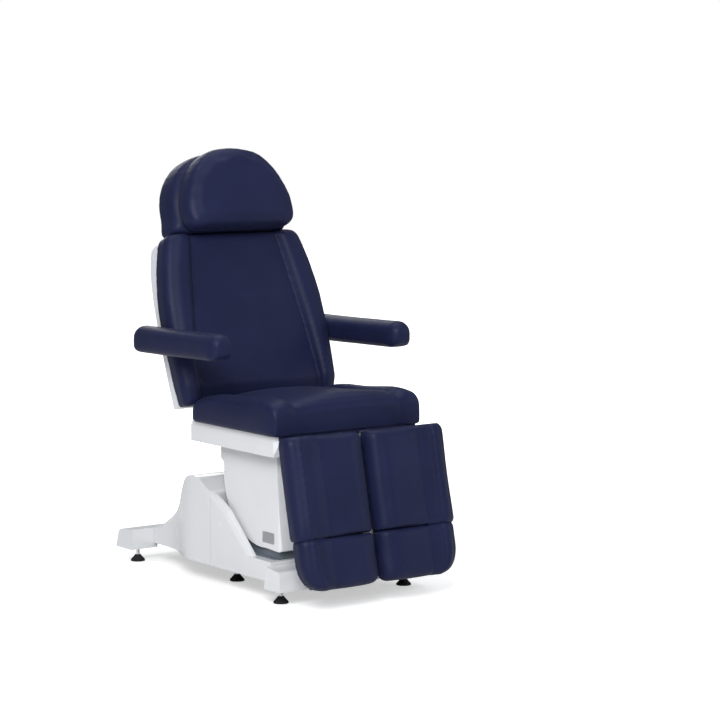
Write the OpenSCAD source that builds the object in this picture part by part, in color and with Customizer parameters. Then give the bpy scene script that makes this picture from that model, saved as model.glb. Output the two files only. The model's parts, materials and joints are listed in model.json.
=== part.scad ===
// Podiatry chair: a telescopic lift column on a low base carries a tilting seat, a reclining
// back with a headrest and armrests, and two leg rests whose foot pads slide out.
// Millimetres, +Z up, the chair faces -Y. The origin is on the floor under the middle of its length.

/* [Base] */
// Width over the base's side walls
base_w = 540; // [500:5:580]
// Reach of the base's front beam ahead of the column
base_front = 280; // [265:5:310]
// Reach of the base behind the column
base_rear = 745; // [690:5:800]
// Width over the front and rear beams
beam_w = 600; // [560:5:640]
// Height of the beams' undersides over the floor
beam_z = 48; // [44:1:52]
// Height of the beams
beam_h = 71; // [68:1:76]
// Height of the base shelf in front of the column
shelf_z = 131; // [125:1:136]
// Height of the hump behind the column
hump_z = 360; // [345:5:370]
// Wall of the plastic covers
cover_t = 4; // [3:0.5:5]

/* [Base frame] */
// Height of the frame's underside over the floor
frame_z = 60; // [56:1:64]
// Height of the frame's square tubes
frame_h = 40; // [36:1:44]
// Width of the frame's tubes
frame_w = 50; // [40:1:52]
// Wall of the frame's tubes
frame_t = 3; // [2:0.5:4]
// Distance between the two side rails' centres
rail_gap = 326; // [310:2:340]
// Diameter of a levelling foot's pad
pad_d = 50; // [44:1:56]
// Height of a levelling foot's pad
pad_h = 22; // [18:1:26]
// Diameter of a levelling foot's stud
stud_d = 12; // [10:1:14]

/* [Lift column] */
// Outer width of the fixed column tube
tube_w = 190; // [180:2:196]
// Wall of the column tubes
tube_t = 5; // [4:0.5:6]
// Gap between one column tube and the next
tube_gap = 4; // [3:0.5:5]
// Height of the fixed column tube
tube_h = 292; // [270:2:300]
// Travel of each of the two column stages
stage_travel = 125; // [100:5:125]
// Diameter of the lifting rod
lift_rod_d = 30; // [24:1:34]
// Width over the white column cover
column_w = 470; // [456:2:476]
// Radius of the column cover's swept lower edge
sweep_r = 228; // [224:1:232]

/* [Seat] */
// Width of the seat cushion
seat_w = 600; // [590:5:630]
// Reach of the seat cushion ahead of the column
seat_front = 250; // [240:1:255]
// Reach of the seat cushion behind the column
seat_rear = 245; // [235:1:246]
// Height of the seat cushion's underside over the floor
seat_z = 547; // [546:1:552]
// Thickness of the seat cushion at its front
seat_t = 122; // [105:1:130]
// Drop of the seat cushion's top towards the backrest
seat_drop = 40; // [30:1:44]
// Thickness of the boards under the cushions
board_t = 12; // [9:1:12]
// Height of the skirt's lower edge over the floor
skirt_z = 479; // [477:1:484]

/* [Backrest] */
// Lean of the backrest from upright
back_lean = 18.7; // [17:0.1:20]
// Length of the back cushion
back_len = 585; // [560:5:610]
// Thickness of the back cushion
back_t = 92; // [84:1:96]
// Reach of the back cushion past the seat's side, at its widest
back_over = 18; // [14:1:22]
// Depth of the shell behind the back cushion
shell_depth = 46; // [44:1:52]
// Length of the head cushion
head_len = 282; // [260:2:300]
// Width of the head cushion
head_w = 460; // [430:5:480]
// Thickness of the head cushion
head_t = 112; // [100:1:112]
// Width of the pillow on the head cushion
pillow_w = 434; // [400:2:450]
// Thickness of the pillow
pillow_t = 70; // [55:1:80]

/* [Armrests] */
// Length of an armrest
arm_len = 525; // [480:5:560]
// Width of an armrest
arm_w = 82; // [76:1:96]
// Height of an armrest's section
arm_h = 88; // [76:1:96]
// Gap between the back cushion and an armrest
arm_clear = 6; // [4:1:14]
// Height of the armrests' middle over the floor
arm_z = 818; // [790:2:840]
// Diameter of the armrests' pivots
arm_pin_d = 20; // [16:1:22]

/* [Leg rests] */
// Gap between the two leg rests
leg_gap = 34; // [30:1:46]
// Lean of the hanging leg rests from upright
leg_lean = 12.5; // [10:0.5:14]
// Length of a leg cushion
leg_len = 330; // [310:2:340]
// Length of a foot cushion
foot_len = 164; // [150:2:176]
// Thickness of the leg and foot cushions
leg_t = 70; // [60:1:74]
// Travel of the foot cushions
foot_travel = 140; // [100:5:150]

/* [Hidden] */
$fn = 40;

// Overrun of every cut, running clearance of pins, gap beside soft parts, gap between covers
over = 2;
run = 0.05;
soft_gap = 0.4;
cover_gap = 2;
board_fit = 2;

// Widths that follow the seat's
skirt_w = seat_w - 40;
back_w = seat_w + 2 * back_over;
arm_gap = back_w + 2 * arm_clear;
leg_w = (seat_w + 2 - leg_gap) / 2;

// Base: where its pieces stand along the chair
foot_gap = beam_w - 100;
bar_w = frame_h;
front_bar_y = -(base_front - 65);
rear_bar_y = base_rear - 65;
mid_foot_y = 175;
rail_x = rail_gap / 2;
frame_top = frame_z + frame_h;
plate_t = 8;
plate_half = 120;
plate_top = frame_top + plate_t;
stud_rise = 10;
nut_d = 19;
nut_h = 10;

// Base covers: side outlines, with [y, z] corners
side_in = base_w / 2 - 24;
cheek_top = [158, 306];
cheek_mid = [80, 264];
cheek_low = [-68, shelf_z];
cover_floor = frame_z + 4;
shelf_front = -(base_front - 8);
beam_back = -(base_front - 90);
beam_flare = 8;
rib_t = 6;
hump_front = 172;
hump_back = [334, 352];
hump_low = [452, 212];
rear_neck = [600, 128];
rear_low = base_rear - 105;
rear_half = 206;
hump_taper_y = [340, 490];
hump_rise = cheek_top[1] + 8;
hump_crest = 260;
hump_r = 34;
rear_end = 116;
corner_r = 30;
box_half = 95;
box_y = [205, 330];
box_z = [frame_top, 290];
box_foot = 4;
inlet_w = 48;
inlet_h = 28;
inlet_at = [110, beam_z + beam_h / 2];
inlet_depth = 30;
inlet_pins = 11;
inlet_pin = [4, 2, 14];

// Column: half widths of its square tubes
outer_half = tube_w / 2;
middle_half = outer_half - tube_t - tube_gap;
inner_half = middle_half - tube_t - tube_gap;
tube_step = 6;
middle_z = plate_top + tube_step;
inner_z = middle_z + tube_step;
outer_top = plate_top + tube_h;
middle_top = outer_top + 30;
inner_top = middle_top + 20;
glide_h = 54;
glide_w = 60;
glide_t = tube_gap - 0.1;
glide_drop = 4;
motor_d = 62;
motor_h = 110;
motor_y = -38;
spindle_y = 22;
spindle_d = 52;

// Inner cover, a grey sleeve that stands on the base shelf around the column
sleeve_half = 222;
sleeve_y = [-164, 122];
sleeve_z = [shelf_z - 21, middle_top - 4];
sleeve_t = 3;
sleeve_r = 16;
sleeve_lip = [16, 3];
sleeve_hole = 4;

// Column cover: side outline in [y, z] around the centre of its swept edge
sweep_at = [-84, 390];
sweep_turn = [-96, -8];
cover_top = 474;
cover_front_top = [-172, cover_top];
cover_front_low = [-190, 158];
cover_toe = [-112, 165];
cover_neck = [143, 417];
cover_flare = [171, 436];
cover_back_top = [160, cover_top];
cover_r = 14;

// Seat carrier and the seat's tilt
carrier_half = column_w / 2 - cover_t;
carrier_y = [-164, 152];
carrier_t = 8;
carrier_top = inner_top + carrier_t;
tilt_y = 235;
tilt_z = 500;
tilt_pin_d = 20;
arm_plate_x = [152, 162];
arm_plate_y = 60;
tilt_boss_d = 34;
tilt_act_y = -130;
tilt_act_d = 42;
tilt_act_z = [205, carrier_top + 6];
tilt_rod_d = 20;
tilt_rod_z = 232;
yoke_x = 16;
yoke_y = [-146, -106];
link_pin_z = tilt_z - 8;
yoke_z = [link_pin_z - 14, link_pin_z + 12];
link_pin_d = 12;
link_slot_y = [-138, -115];
link_slot_h = link_pin_d + 1;
lug_t = 8;
lug_gap = 2;

// Seat frame
seat_rail_x = [178, 208];
seat_tube_z = [seat_z - board_t - 25, seat_z - board_t];
seat_rail_y = [-224, seat_rear + 5];
seat_cross_y = [[-224, -198], [-146, -114], [168, 196]];
skirt_y = [9 - seat_front, seat_rear + 31];
skirt_rake = 24;
skirt_bevel = 22;
skirt_t = 3;
skirt_gate = 66;
rail_top = seat_z - board_t;
board_y = [skirt_y[0] + skirt_t + board_fit + skirt_rake * board_t / (seat_z - skirt_z), seat_rear - 14];
board_half = skirt_w / 2 - skirt_t - board_fit;

// Backrest: its frame of reference stands at the cushion's lower rear edge
back_y = seat_rear + 75;
back_z = seat_z + 39;
pivot_y = seat_rear + 25;
pivot_z = seat_z + 13;
shaft_d = 20;
pivot_tube_d = 30;
pivot_tube_x = 220;
back_lug_x = [226, 234];
back_lug_d = 34;
back_neck = 14;
back_foot_y = [pivot_y - 48, pivot_y - 20];
post_x = [150, 190];
post_y = [board_t, board_t + 20];
post_z = [12, back_len - 25];
post_cross = 30;
lever_x = [12, 20];
lever_slot_r = [59, 75];
lever_slot_w = 13;
lever_half = 11;
lever_r = 88;
back_rod_z = 500;
back_rod_d = 16;
back_eye_d = 22;
back_eye_x = 11;
back_pin_d = 8;
lever_angle = (90 - back_lean) / 2;
back_pin_y = pivot_y + (pivot_z - back_rod_z) * tan(lever_angle);
back_act_d = 38;
back_act_y = [-95, 150];
back_tab_y = [[-70, -50], [100, 120]];
back_tab_x = 15;
back_rod_y = 0;
board_inset = 18;
shell_inset = 12;
shell_t = 4;
shell_len = back_len - 12;
shell_chamfer = 34;

// Outline of the back cushion: half width as shares of the widest, over shares of the length
back_at_shares = [0, 0.12, 0.28, 0.45, 0.62, 0.8, 0.93, 1];
back_half_shares = [0.955, 0.975, 0.992, 1, 0.99, 0.94, 0.88, 0.83];
back_seam_shares = [0.777, 0.768, 0.738, 0.70, 0.651, 0.602, 0.564, 0.544];
back_at = back_len * back_at_shares;
back_half = back_w / 2 * back_half_shares;
back_seam = back_w / 2 * back_seam_shares;

// Headrest
head_z = back_len + 8;
head_back = 20;
head_axis_z = back_len + 3;
head_axis_y = head_back + board_t + 8;
head_pin_d = 12;
head_knuckle_d = 22;
head_knuckle_x = [[20, 36], [38, 54]];
head_tongue_z = [back_len - 130, back_len - 4];
head_board_half = 190;
head_straight_share = 0.3;
pillow_z = back_len + 1;
pillow_straight_share = 0.25;

// Armrests
arm_in = arm_gap / 2;
arm_back_y = back_y + 140;
arm_pivot_y = board_t + 17;
arm_pivot_z = (arm_z - back_z + arm_pivot_y * sin(back_lean)) / cos(back_lean);
arm_axle_y = back_y + arm_pivot_y * cos(back_lean) + arm_pivot_z * sin(back_lean);
arm_tube_d = 32;
arm_tube_x = arm_in - 22;
arm_shaft_in = arm_in - 82;
core_x = [arm_in + 30, arm_in + 42];
core_h = 36;
core_y = [30, 90];

// Leg rests: their frame of reference hangs on the hinge at the seat's front
leg_hinge_y = -(seat_front + 12);
leg_hinge_z = seat_z - board_t;
leg_back = 20;
leg_in = leg_gap / 2;
leg_mid = leg_in + leg_w / 2;
leg_top = -8;
hinge_pin_d = 12;
hinge_knuckle_d = 22;
hinge_x = [leg_in + 40, leg_in + leg_w - 62];
knuckle_w = 24;
leg_board_t = 8;
rail_half = 14;
rail_y = [-(leg_back - leg_board_t), 6];
rail_spread = 70;
rail_end = leg_top + leg_len - 6;
rail_wall = 2.5;
slide_half = 11;
slide_clear = 0.5;
slide_start = rail_end - foot_travel - 46;
leg_shell_y = 12;
leg_shell_inset = 20;
leg_shell_t = 2.5;
foot_gap_z = 0.8;
foot_top = leg_top + leg_len + foot_gap_z;

// Soft forms: rounding of their ends and edges, height of crowns, side rolls and depth of seams
end_r = 24;
edge_r = 26;
seat_crown = 10;
seat_corner_shares = [0.35, 0.2];
seat_roll = 7;
seam_groove = 5;
back_crown = 4;
back_roll = 12;
head_crown = 8;
pillow_crown = 14;
leg_crown = 5;
leg_roll = 7;
leg_edge = 52;
arm_round = 36;
foot_corner = 92;

leg_reach = -leg_hinge_y + (foot_top + foot_len - end_r) * sin(leg_lean)
    + (leg_back + leg_t + leg_roll) * cos(leg_lean);
mid_y = (base_rear - leg_reach) / 2;

function blend(a, b, t) = a + (b - a) * t;
function last(v) = v[len(v) - 1];
function arc(c, r, a, b, n) = [for (i = [0:n]) c + r * [cos(blend(a, b, i / n)), sin(blend(a, b, i / n))]];

// Rounded rectangle from corner a to corner b
function round_box(a, b, r, n = 5) = concat(
    arc([b[0] - r, b[1] - r], r, 0, 90, n), arc([a[0] + r, b[1] - r], r, 90, 180, n),
    arc([a[0] + r, a[1] + r], r, 180, 270, n), arc([b[0] - r, a[1] + r], r, 270, 360, n));

// Corner p between a and b, cut off by an arc-like curve that starts a length r along each side
function soft_corner(a, p, b, r, n = 5) = let(
    s = p + r * (a - p) / norm(a - p), e = p + r * (b - p) / norm(b - p))
    [for (i = [0:n]) let(t = i / n) (1 - t) * (1 - t) * s + 2 * t * (1 - t) * p + t * t * e];

// Closed outline through points [y, z, r], each corner softened over its own length r
function soft_path(p, n = 5) = [for (i = [0:len(p) - 1]) let(
    q = p[i], a = p[(i + len(p) - 1) % len(p)], b = p[(i + 1) % len(p)])
    each (q[2] > 0 ? soft_corner([a[0], a[1]], [q[0], q[1]], [b[0], b[1]], q[2], n) : [[q[0], q[1]]])];

// One closed section of a pad: flat underside, rounded edges, a roll along each edge and a crowned
// middle between the seams at seam[0] and seam[1]
// With plain, the side at x[0] has no seam or roll: the crown runs on to its edge
function pad_section(x, h, seam, crown, roll, groove, r, plain = false) = let(rb = r / 3) concat(
    [for (i = [0:2]) [x[1] - rb + rb * cos(-90 + 45 * i), h[0] + rb + rb * sin(-90 + 45 * i)]],
    [for (i = [0:4]) [x[1] - r + r * cos(22.5 * i), h[1] - r + r * sin(22.5 * i)]],
    [for (i = [1:3]) [blend(x[1] - r, seam[1], i / 4), h[1] + roll * sin(45 * i)]],
    [[seam[1], h[1] - groove]],
    [for (i = [1:7]) let(u = 1 - i / 4) [blend(seam[0], seam[1], (u + 1) / 2),
        h[1] - groove + (crown + groove) * (plain ? sin(45 * (1 - u)) : 1 - u * u)]],
    [[seam[0], h[1] + (plain ? crown : -groove)]],
    [for (i = [3:-1:1]) [blend(x[0] + r, seam[0], i / 4), h[1] + (plain ? crown * sin(22.5 * i) : roll * sin(45 * i))]],
    [for (i = [4:-1:0]) [x[0] + r - r * cos(22.5 * i), h[1] - r + r * sin(22.5 * i)]],
    [for (i = [2:-1:0]) [x[0] + rb - rb * cos(-90 + 45 * i), h[0] + rb + rb * sin(-90 + 45 * i)]]);

// One closed section of a pad without seams: its top is one smooth crown
function crown_section(x, h, crown, r) = let(rb = r / 3, m = (x[0] + x[1]) / 2, w = (x[1] - x[0]) / 2 - r)
    concat(
    [for (i = [0:2]) [x[1] - rb + rb * cos(-90 + 45 * i), h[0] + rb + rb * sin(-90 + 45 * i)]],
    [for (i = [0:4]) [x[1] - r + r * cos(22.5 * i), h[1] - r + r * sin(22.5 * i)]],
    [for (i = [1:9]) let(u = 1 - i / 5) [m + u * w, h[1] + crown * (1 - u * u)]],
    [for (i = [4:-1:0]) [x[0] + r - r * cos(22.5 * i), h[1] - r + r * sin(22.5 * i)]],
    [for (i = [2:-1:0]) [x[0] + rb - rb * cos(-90 + 45 * i), h[0] + rb + rb * sin(-90 + 45 * i)]]);

// Places along a pad, each with how far its section draws in there: [place, inset]
function pad_places(length, r0, r1, n) = concat(
    [for (a = [0, 30, 60]) [r0 - r0 * cos(a), r0 - r0 * sin(a)]],
    [for (i = [0:n]) [blend(r0, length - r1, i / n), 0]],
    [for (a = [60, 30, 0]) [length - r1 + r1 * cos(a), r1 - r1 * sin(a)]]);

// Value at t of the line through the points (at, value)
function along(t, at, value) = t <= at[0] ? value[0] : t >= last(at) ? last(value)
    : let(i = [for (k = [0:len(at) - 2]) if (t >= at[k] && t < at[k + 1]) k][0])
    blend(value[i], value[i + 1], (t - at[i]) / (at[i + 1] - at[i]));

// Closed solid through a list of rings of 3-D points, with both ends capped
module skin(rings, flip = false) {
    n = len(rings[0]);
    m = len(rings);
    ends = [for (k = [0, m - 1]) [for (c = [0:2]) [for (p = rings[k]) p[c]] * [for (p = rings[k]) 1] / n]];
    points = concat([for (ring = rings) each ring], ends);
    faces = concat(
        [for (j = [0:m - 2]) for (i = [0:n - 1]) let(a = j * n + i, b = j * n + (i + 1) % n)
            each [[a, b, b + n], [a, b + n, a + n]]],
        [for (i = [0:n - 1]) [m * n, (i + 1) % n, i]],
        [for (i = [0:n - 1]) [m * n + 1, (m - 1) * n + i, (m - 1) * n + (i + 1) % n]]);
    polyhedron(points, flip ? [for (f = faces) [f[2], f[1], f[0]]] : faces);
}

module place() { translate([0, -mid_y, 0]) children(); }
module both() { children(); mirror([1, 0, 0]) children(); }
module on_side(side) { mirror([side < 0 ? 1 : 0, 0, 0]) children(); }
module on_back() { translate([0, back_y, back_z]) rotate([-back_lean, 0, 0]) children(); }
module on_leg() { translate([0, leg_hinge_y, leg_hinge_z]) rotate([-leg_lean, 0, 0]) children(); }
module slab(x, y, z) { translate([x[0], y[0], z[0]]) cube([x[1] - x[0], y[1] - y[0], z[1] - z[0]]); }
module rod_x(d, x, y, z) { translate([x[0], y, z]) rotate([0, 90, 0]) cylinder(d = d, h = x[1] - x[0]); }
module rod_y(d, x, y, z) { translate([x, y[1], z]) rotate([90, 0, 0]) cylinder(d = d, h = y[1] - y[0]); }
module rod_z(d, x, y, z) { translate([x, y, z[0]]) cylinder(d = d, h = z[1] - z[0]); }
// Outline [y, z] pushed across the chair from x[0] to x[1]
module across(x, points) {
    translate([x[0], 0, 0]) rotate([90, 0, 90]) linear_extrude(x[1] - x[0]) polygon(points);
}
// Outline [x, z] pushed along the chair from y[0] to y[1]
module lengthwise(y, points) {
    translate([0, y[1], 0]) rotate([90, 0, 0]) linear_extrude(y[1] - y[0]) polygon(points);
}
// Outline [x, y] pushed up from z[0] to z[1]
module upright(z, points) { translate([0, 0, z[0]]) linear_extrude(z[1] - z[0]) polygon(points); }
// Square tube standing on end
module square_tube(half, wall, z) {
    difference() {
        slab([-half, half], [-half, half], z);
        slab([wall - half, half - wall], [wall - half, half - wall], [z[0] - over, z[1] + over]);
    }
}

function to_back(y, z) = [(y - back_y) * cos(back_lean) - (z - back_z) * sin(back_lean),
    (y - back_y) * sin(back_lean) + (z - back_z) * cos(back_lean)];

foot_at = [for (y = [front_bar_y, rear_bar_y], s = [-1, 1]) [s * foot_gap / 2, y]];
mid_foot_at = [for (s = [-1, 1]) [s * rail_x, mid_foot_y]];
feet = concat(foot_at, mid_foot_at);
module stud_holes(at) {
    for (p = at) rod_z(stud_d + 2 * run, p[0], p[1], [frame_z - over, frame_top + over]);
}

// Base frame
module crossbar(y) {
    half = beam_w / 2 - 20;
    difference() {
        slab([-half, half], [y - bar_w / 2, y + bar_w / 2], [frame_z, frame_top]);
        slab([-half - over, half + over], [y - bar_w / 2 + frame_t, y + bar_w / 2 - frame_t],
            [frame_z + frame_t, frame_top - frame_t]);
        stud_holes(foot_at);
    }
}
module front_crossbar() { color("#3a3d42") place() crossbar(front_bar_y); }
module rear_crossbar() { color("#3a3d42") place() crossbar(rear_bar_y); }
module side_rails() {
    y = [front_bar_y + bar_w / 2, rear_bar_y - bar_w / 2];
    color("#3a3d42") place() both() difference() {
        slab([rail_x - frame_w / 2, rail_x + frame_w / 2], y, [frame_z, frame_top]);
        slab([rail_x - frame_w / 2 + frame_t, rail_x + frame_w / 2 - frame_t], [y[0] - over, y[1] + over],
            [frame_z + frame_t, frame_top - frame_t]);
        stud_holes(mid_foot_at);
    }
}
module column_plate() {
    half = rail_x + frame_w / 2;
    color("#3a3d42") place()
        upright([frame_top, plate_top], round_box([-half, -plate_half], [half, plate_half], corner_r / 3));
}
module foot_pads() {
    r = pad_d / 2;
    s = stud_d / 2 + run;
    color("#1b1b1d") place() for (p = feet) translate([p[0], p[1], 0]) rotate_extrude()
        polygon([[0, 0], [r, 0], [r, pad_h * 0.22], [r * 0.55, pad_h * 0.78], [r * 0.42, pad_h],
            [s, pad_h], [s, pad_h / 2], [0, pad_h / 2]]);
}
module foot_studs() {
    color("#c9ccd0") place() for (p = feet) {
        rod_z(stud_d, p[0], p[1], [pad_h / 2, frame_top + stud_rise]);
        translate([p[0], p[1], frame_z - nut_h]) cylinder(d = nut_d, h = nut_h, $fn = 6);
    }
}

// Base covers
cheek_path = [[cheek_low[0], cover_floor], cheek_low, cheek_mid, cheek_top, [hump_front, cheek_top[1] + 6],
    [hump_front, cover_floor]];
function lowered(path, d) = [for (i = [0:len(path) - 1]) path[i][1] > cover_floor
    ? [path[i][0] - (i == len(path) - 2 ? 0 : -d / 2), path[i][1] - d] : path[i]];
// Gates in the covers' front walls, where the side rails and the middle feet's studs pass
module rail_gates(y) {
    both() slab([rail_x - frame_w / 2 - 2 * over, rail_x + frame_w / 2 + 2 * over],
        [y - over, y + cover_t + over], [beam_z - over, frame_top + stud_rise + 2 * over]);
}
// Rib under a cover, across the chair, that rests on the base frame
module cover_rib(half, y, top) { slab([-half, half], [y - rib_t / 2, y + rib_t / 2], [frame_top, top]); }
module cheek() {
    outer = base_w / 2;
    hull() {
        across([side_in, outer - corner_r / 2], cheek_path);
        across([side_in, outer - corner_r / 5], lowered(cheek_path, corner_r / 8));
        across([side_in, outer], lowered(cheek_path, corner_r / 2));
    }
}
module base_cover() {
    outer = base_w / 2;
    front = beam_back + cover_gap;
    color("#dcdee2") place() {
        both() cheek();
        cover_rib(outer - cover_t / 2, front + 2 * rib_t, shelf_z - cover_t / 2);
        difference() {
            slab([-outer, outer], [front, hump_front], [cover_floor, shelf_z]);
            slab([cover_t - outer, outer - cover_t], [front + cover_t, hump_front + over],
                [cover_floor - over, shelf_z - cover_t]);
            slab([-sleeve_half - sleeve_hole, sleeve_half + sleeve_hole],
                [sleeve_y[0] - sleeve_hole, hump_front + over], [cover_floor, shelf_z + over]);
            rail_gates(front);
        }
    }
}
function hump_path(d) = let(y0 = hump_front + cover_gap + d, y1 = rear_low + free(d), low = cover_floor - free(d))
    soft_path([[y0, low, 0], [y0, hump_rise - d, hump_r / 3], [hump_crest, hump_z - d, hump_r],
        [hump_back[0], hump_back[1] - d, hump_r], [hump_low[0], hump_low[1] - d, 2 * corner_r],
        [rear_neck[0], rear_neck[1] - d, hump_r], [y1, rear_end - d, 0], [y1, low, 0]]);
function hump_plan(d) = let(x = base_w / 2 - d, n = rear_half - d, y = [hump_front - over, rear_low + 2 * over],
    c = 2 * corner_r)
    soft_path([[x, y[0], 0], [x, hump_taper_y[0], c], [n, hump_taper_y[1], c], [n, y[1], 0],
        [-n, y[1], 0], [-n, hump_taper_y[1], c], [-x, hump_taper_y[0], c], [-x, y[0], 0]]);
module hump(d) {
    intersection() {
        across([-base_w, base_w], hump_path(d));
        upright([0, 2 * hump_z], hump_plan(d));
    }
}
module rear_cover() {
    color("#dcdee2") place() {
        difference() {
            hump(0);
            hump(cover_t);
            rail_gates(hump_front + cover_gap);
        }
        intersection() {
            hump(0);
            cover_rib(base_w, rear_low - 2 * corner_r, hump_z);
        }
    }
}
// Overrun of an outline that is drawn in by d, so that a hollow opens on its free sides
function free(d) = d > 0 ? over : 0;
function beam_outline(d) = let(x = beam_w / 2 - d, low = beam_z - free(d), top = beam_z + beam_h - d)
    [[-x, low], [x, low], [x - beam_flare, top], [beam_flare - x, top]];
module beam_block(y, side, d) {
    intersection() {
        lengthwise([y[0] - free(d), y[1] + free(d)], beam_outline(d));
        across([-beam_w, beam_w], side);
    }
}
// Side outline of a beam cover from its outer face at y0 to its inner one at y1, drawn in by d
function beam_side(y0, y1, d) = let(s = sign(y1 - y0), top = beam_z + beam_h - d, low = beam_z - free(d))
    soft_path([[y0 + s * d, low, 0], [y0 + s * (beam_flare + d), top - beam_flare, 2 * beam_flare],
        [y1 - s * d, top, 0], [y1 - s * d, low, 0]]);
module front_beam_cover() {
    y = [-base_front, beam_back];
    color("#dcdee2") place() {
        difference() {
            beam_block(y, beam_side(y[0], y[1], 0), 0);
            beam_block(y, beam_side(y[0], y[1], cover_t), cover_t);
            rail_gates(y[1] - cover_t);
        }
        cover_rib(rail_x, front_bar_y, beam_z + beam_h - cover_t / 2);
    }
}
module rear_beam_cover() {
    y = [rear_low + cover_gap, base_rear];
    color("#dcdee2") place() {
        difference() {
            beam_block(y, beam_side(y[1], y[0], 0), 0);
            beam_block(y, beam_side(y[1], y[0], cover_t), cover_t);
            inlet_block(2 * over);
            rail_gates(y[0]);
        }
        cover_rib(rail_x, rear_bar_y, beam_z + beam_h - cover_t / 2);
    }
}
module inlet_block(grow) {
    slab([inlet_at[0] - inlet_w / 2, inlet_at[0] + inlet_w / 2],
        [base_rear - inlet_depth, base_rear - beam_flare + grow],
        [inlet_at[1] - inlet_h / 2, inlet_at[1] + inlet_h / 2]);
}
module mains_inlet() {
    rim = 5;
    color("#1b1b1d") place() {
        difference() {
            inlet_block(0);
            slab([inlet_at[0] - inlet_w / 2 + rim, inlet_at[0] + inlet_w / 2 - rim],
                [base_rear - inlet_depth + rim, base_rear + over],
                [inlet_at[1] - inlet_h / 2 + rim, inlet_at[1] + inlet_h / 2 - rim]);
        }
        for (i = [-1:1]) translate([inlet_at[0] + i * inlet_pins, base_rear - inlet_depth + rim, inlet_at[1]])
            slab([-inlet_pin[1] / 2, inlet_pin[1] / 2], [-over, inlet_pin[2]], [-inlet_pin[0] / 2, inlet_pin[0] / 2]);
    }
}
module control_box() {
    color("#55585e") place() {
        upright([box_z[0] + box_foot, box_z[1]], round_box([-box_half, box_y[0]], [box_half, box_y[1]], corner_r / 3));
        slab([-rail_x, rail_x], box_y, [box_z[0], box_z[0] + box_foot]);
    }
}

// Lift column
module glides(half, top) {
    for (a = [0:90:270]) rotate([0, 0, a])
        slab([half - glide_t, half], [-glide_w / 2, glide_w / 2], [top - glide_drop - glide_h, top - glide_drop]);
}
module column_tube() { color("#8f949b") place() square_tube(outer_half, tube_t, [plate_top, outer_top]); }
module middle_tube() { color("#8f949b") place() square_tube(middle_half, tube_t, [middle_z, middle_top]); }
module inner_tube() { color("#8f949b") place() square_tube(inner_half, tube_t, [inner_z, inner_top]); }
module lower_glides() { color("#e8e8e0") place() glides(outer_half - tube_t, outer_top); }
module upper_glides() { color("#e8e8e0") place() glides(middle_half - tube_t, middle_top); }
module lift_actuator() {
    color("#2b2d31") place() {
        rod_z(motor_d, 0, motor_y, [plate_top, plate_top + motor_h]);
        difference() {
            union() {
                slab([-spindle_d / 2, spindle_d / 2], [motor_y, spindle_y], [plate_top, plate_top + motor_h / 4]);
                rod_z(spindle_d, 0, spindle_y, [plate_top, outer_top]);
            }
            rod_z(lift_rod_d + 2 * run, 0, spindle_y, [plate_top + tube_step, outer_top + over]);
        }
    }
}
module lift_rod() { color("#c9ccd0") place() rod_z(lift_rod_d, 0, spindle_y, [inner_z, inner_top]); }
module inner_cover() {
    a = [-sleeve_half, sleeve_y[0]];
    b = [sleeve_half, sleeve_y[1]];
    lip = [sleeve_lip[0], sleeve_lip[0]];
    color("#6d757c") place() difference() {
        union() {
            upright([shelf_z, shelf_z + sleeve_lip[1]], round_box(a - [lip[0], 0], b + [lip[0], 0], sleeve_r / 2));
            upright(sleeve_z, round_box(a, b, sleeve_r));
        }
        upright([0, sleeve_z[1] + over], round_box(a + [sleeve_t, sleeve_t], b - [sleeve_t, sleeve_t], sleeve_r - sleeve_t));
    }
}
cover_path = concat([cover_front_top], soft_corner(cover_front_top, cover_front_low, cover_toe, 12),
    arc(sweep_at, sweep_r, sweep_turn[0], sweep_turn[1], 12), [cover_neck],
    soft_corner(cover_neck, cover_flare, cover_back_top, 12), [cover_back_top]);
module column_cover() {
    half = column_w / 2;
    t = cover_t;
    y = [cover_front_low[0], cover_flare[0]];
    color("#dcdee2") place() difference() {
        intersection() {
            across([-half, half], cover_path);
            upright([0, cover_top], round_box([-half, y[0]], [half, y[1]], cover_r));
        }
        intersection() {
            across([-half, half], [cover_front_top + [t, over], cover_front_low + [t, 0], [cover_front_low[0] + t, 0],
                [cover_neck[0] - t, 0], cover_neck + [-t, 2], cover_flare + [-t, 2], cover_back_top + [-t, over]]);
            upright([0, cover_top + over], round_box([t - half, y[0] + t], [half - t, y[1] - t], cover_r - t));
        }
    }
}

// Seat carrier and tilt drive
module seat_carrier() {
    color("#3a3d42") place() {
        difference() {
            slab([-carrier_half, carrier_half], carrier_y, [inner_top, carrier_top]);
            rod_z(tilt_act_d + 2 * run, 0, tilt_act_y, [inner_top - over, carrier_top + over]);
        }
        both() difference() {
            union() {
                across(arm_plate_x, [[arm_plate_y, carrier_top], [carrier_y[1], carrier_top],
                    [carrier_y[1], cover_top + 3], [tilt_y, tilt_z - tilt_boss_d / 2], [tilt_y, tilt_z],
                    [tilt_y - tilt_boss_d, tilt_z], [arm_plate_y, tilt_z]]);
                rod_x(tilt_boss_d, arm_plate_x, tilt_y, tilt_z);
            }
            rod_x(tilt_pin_d + 2 * run, arm_plate_x + [-over, over], tilt_y, tilt_z);
        }
    }
}
module tilt_pins() {
    color("#c9ccd0") place() both()
        rod_x(tilt_pin_d, [arm_plate_x[0] - lug_gap, seat_rail_x[0] + lug_t + lug_gap], tilt_y, tilt_z);
}
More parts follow.
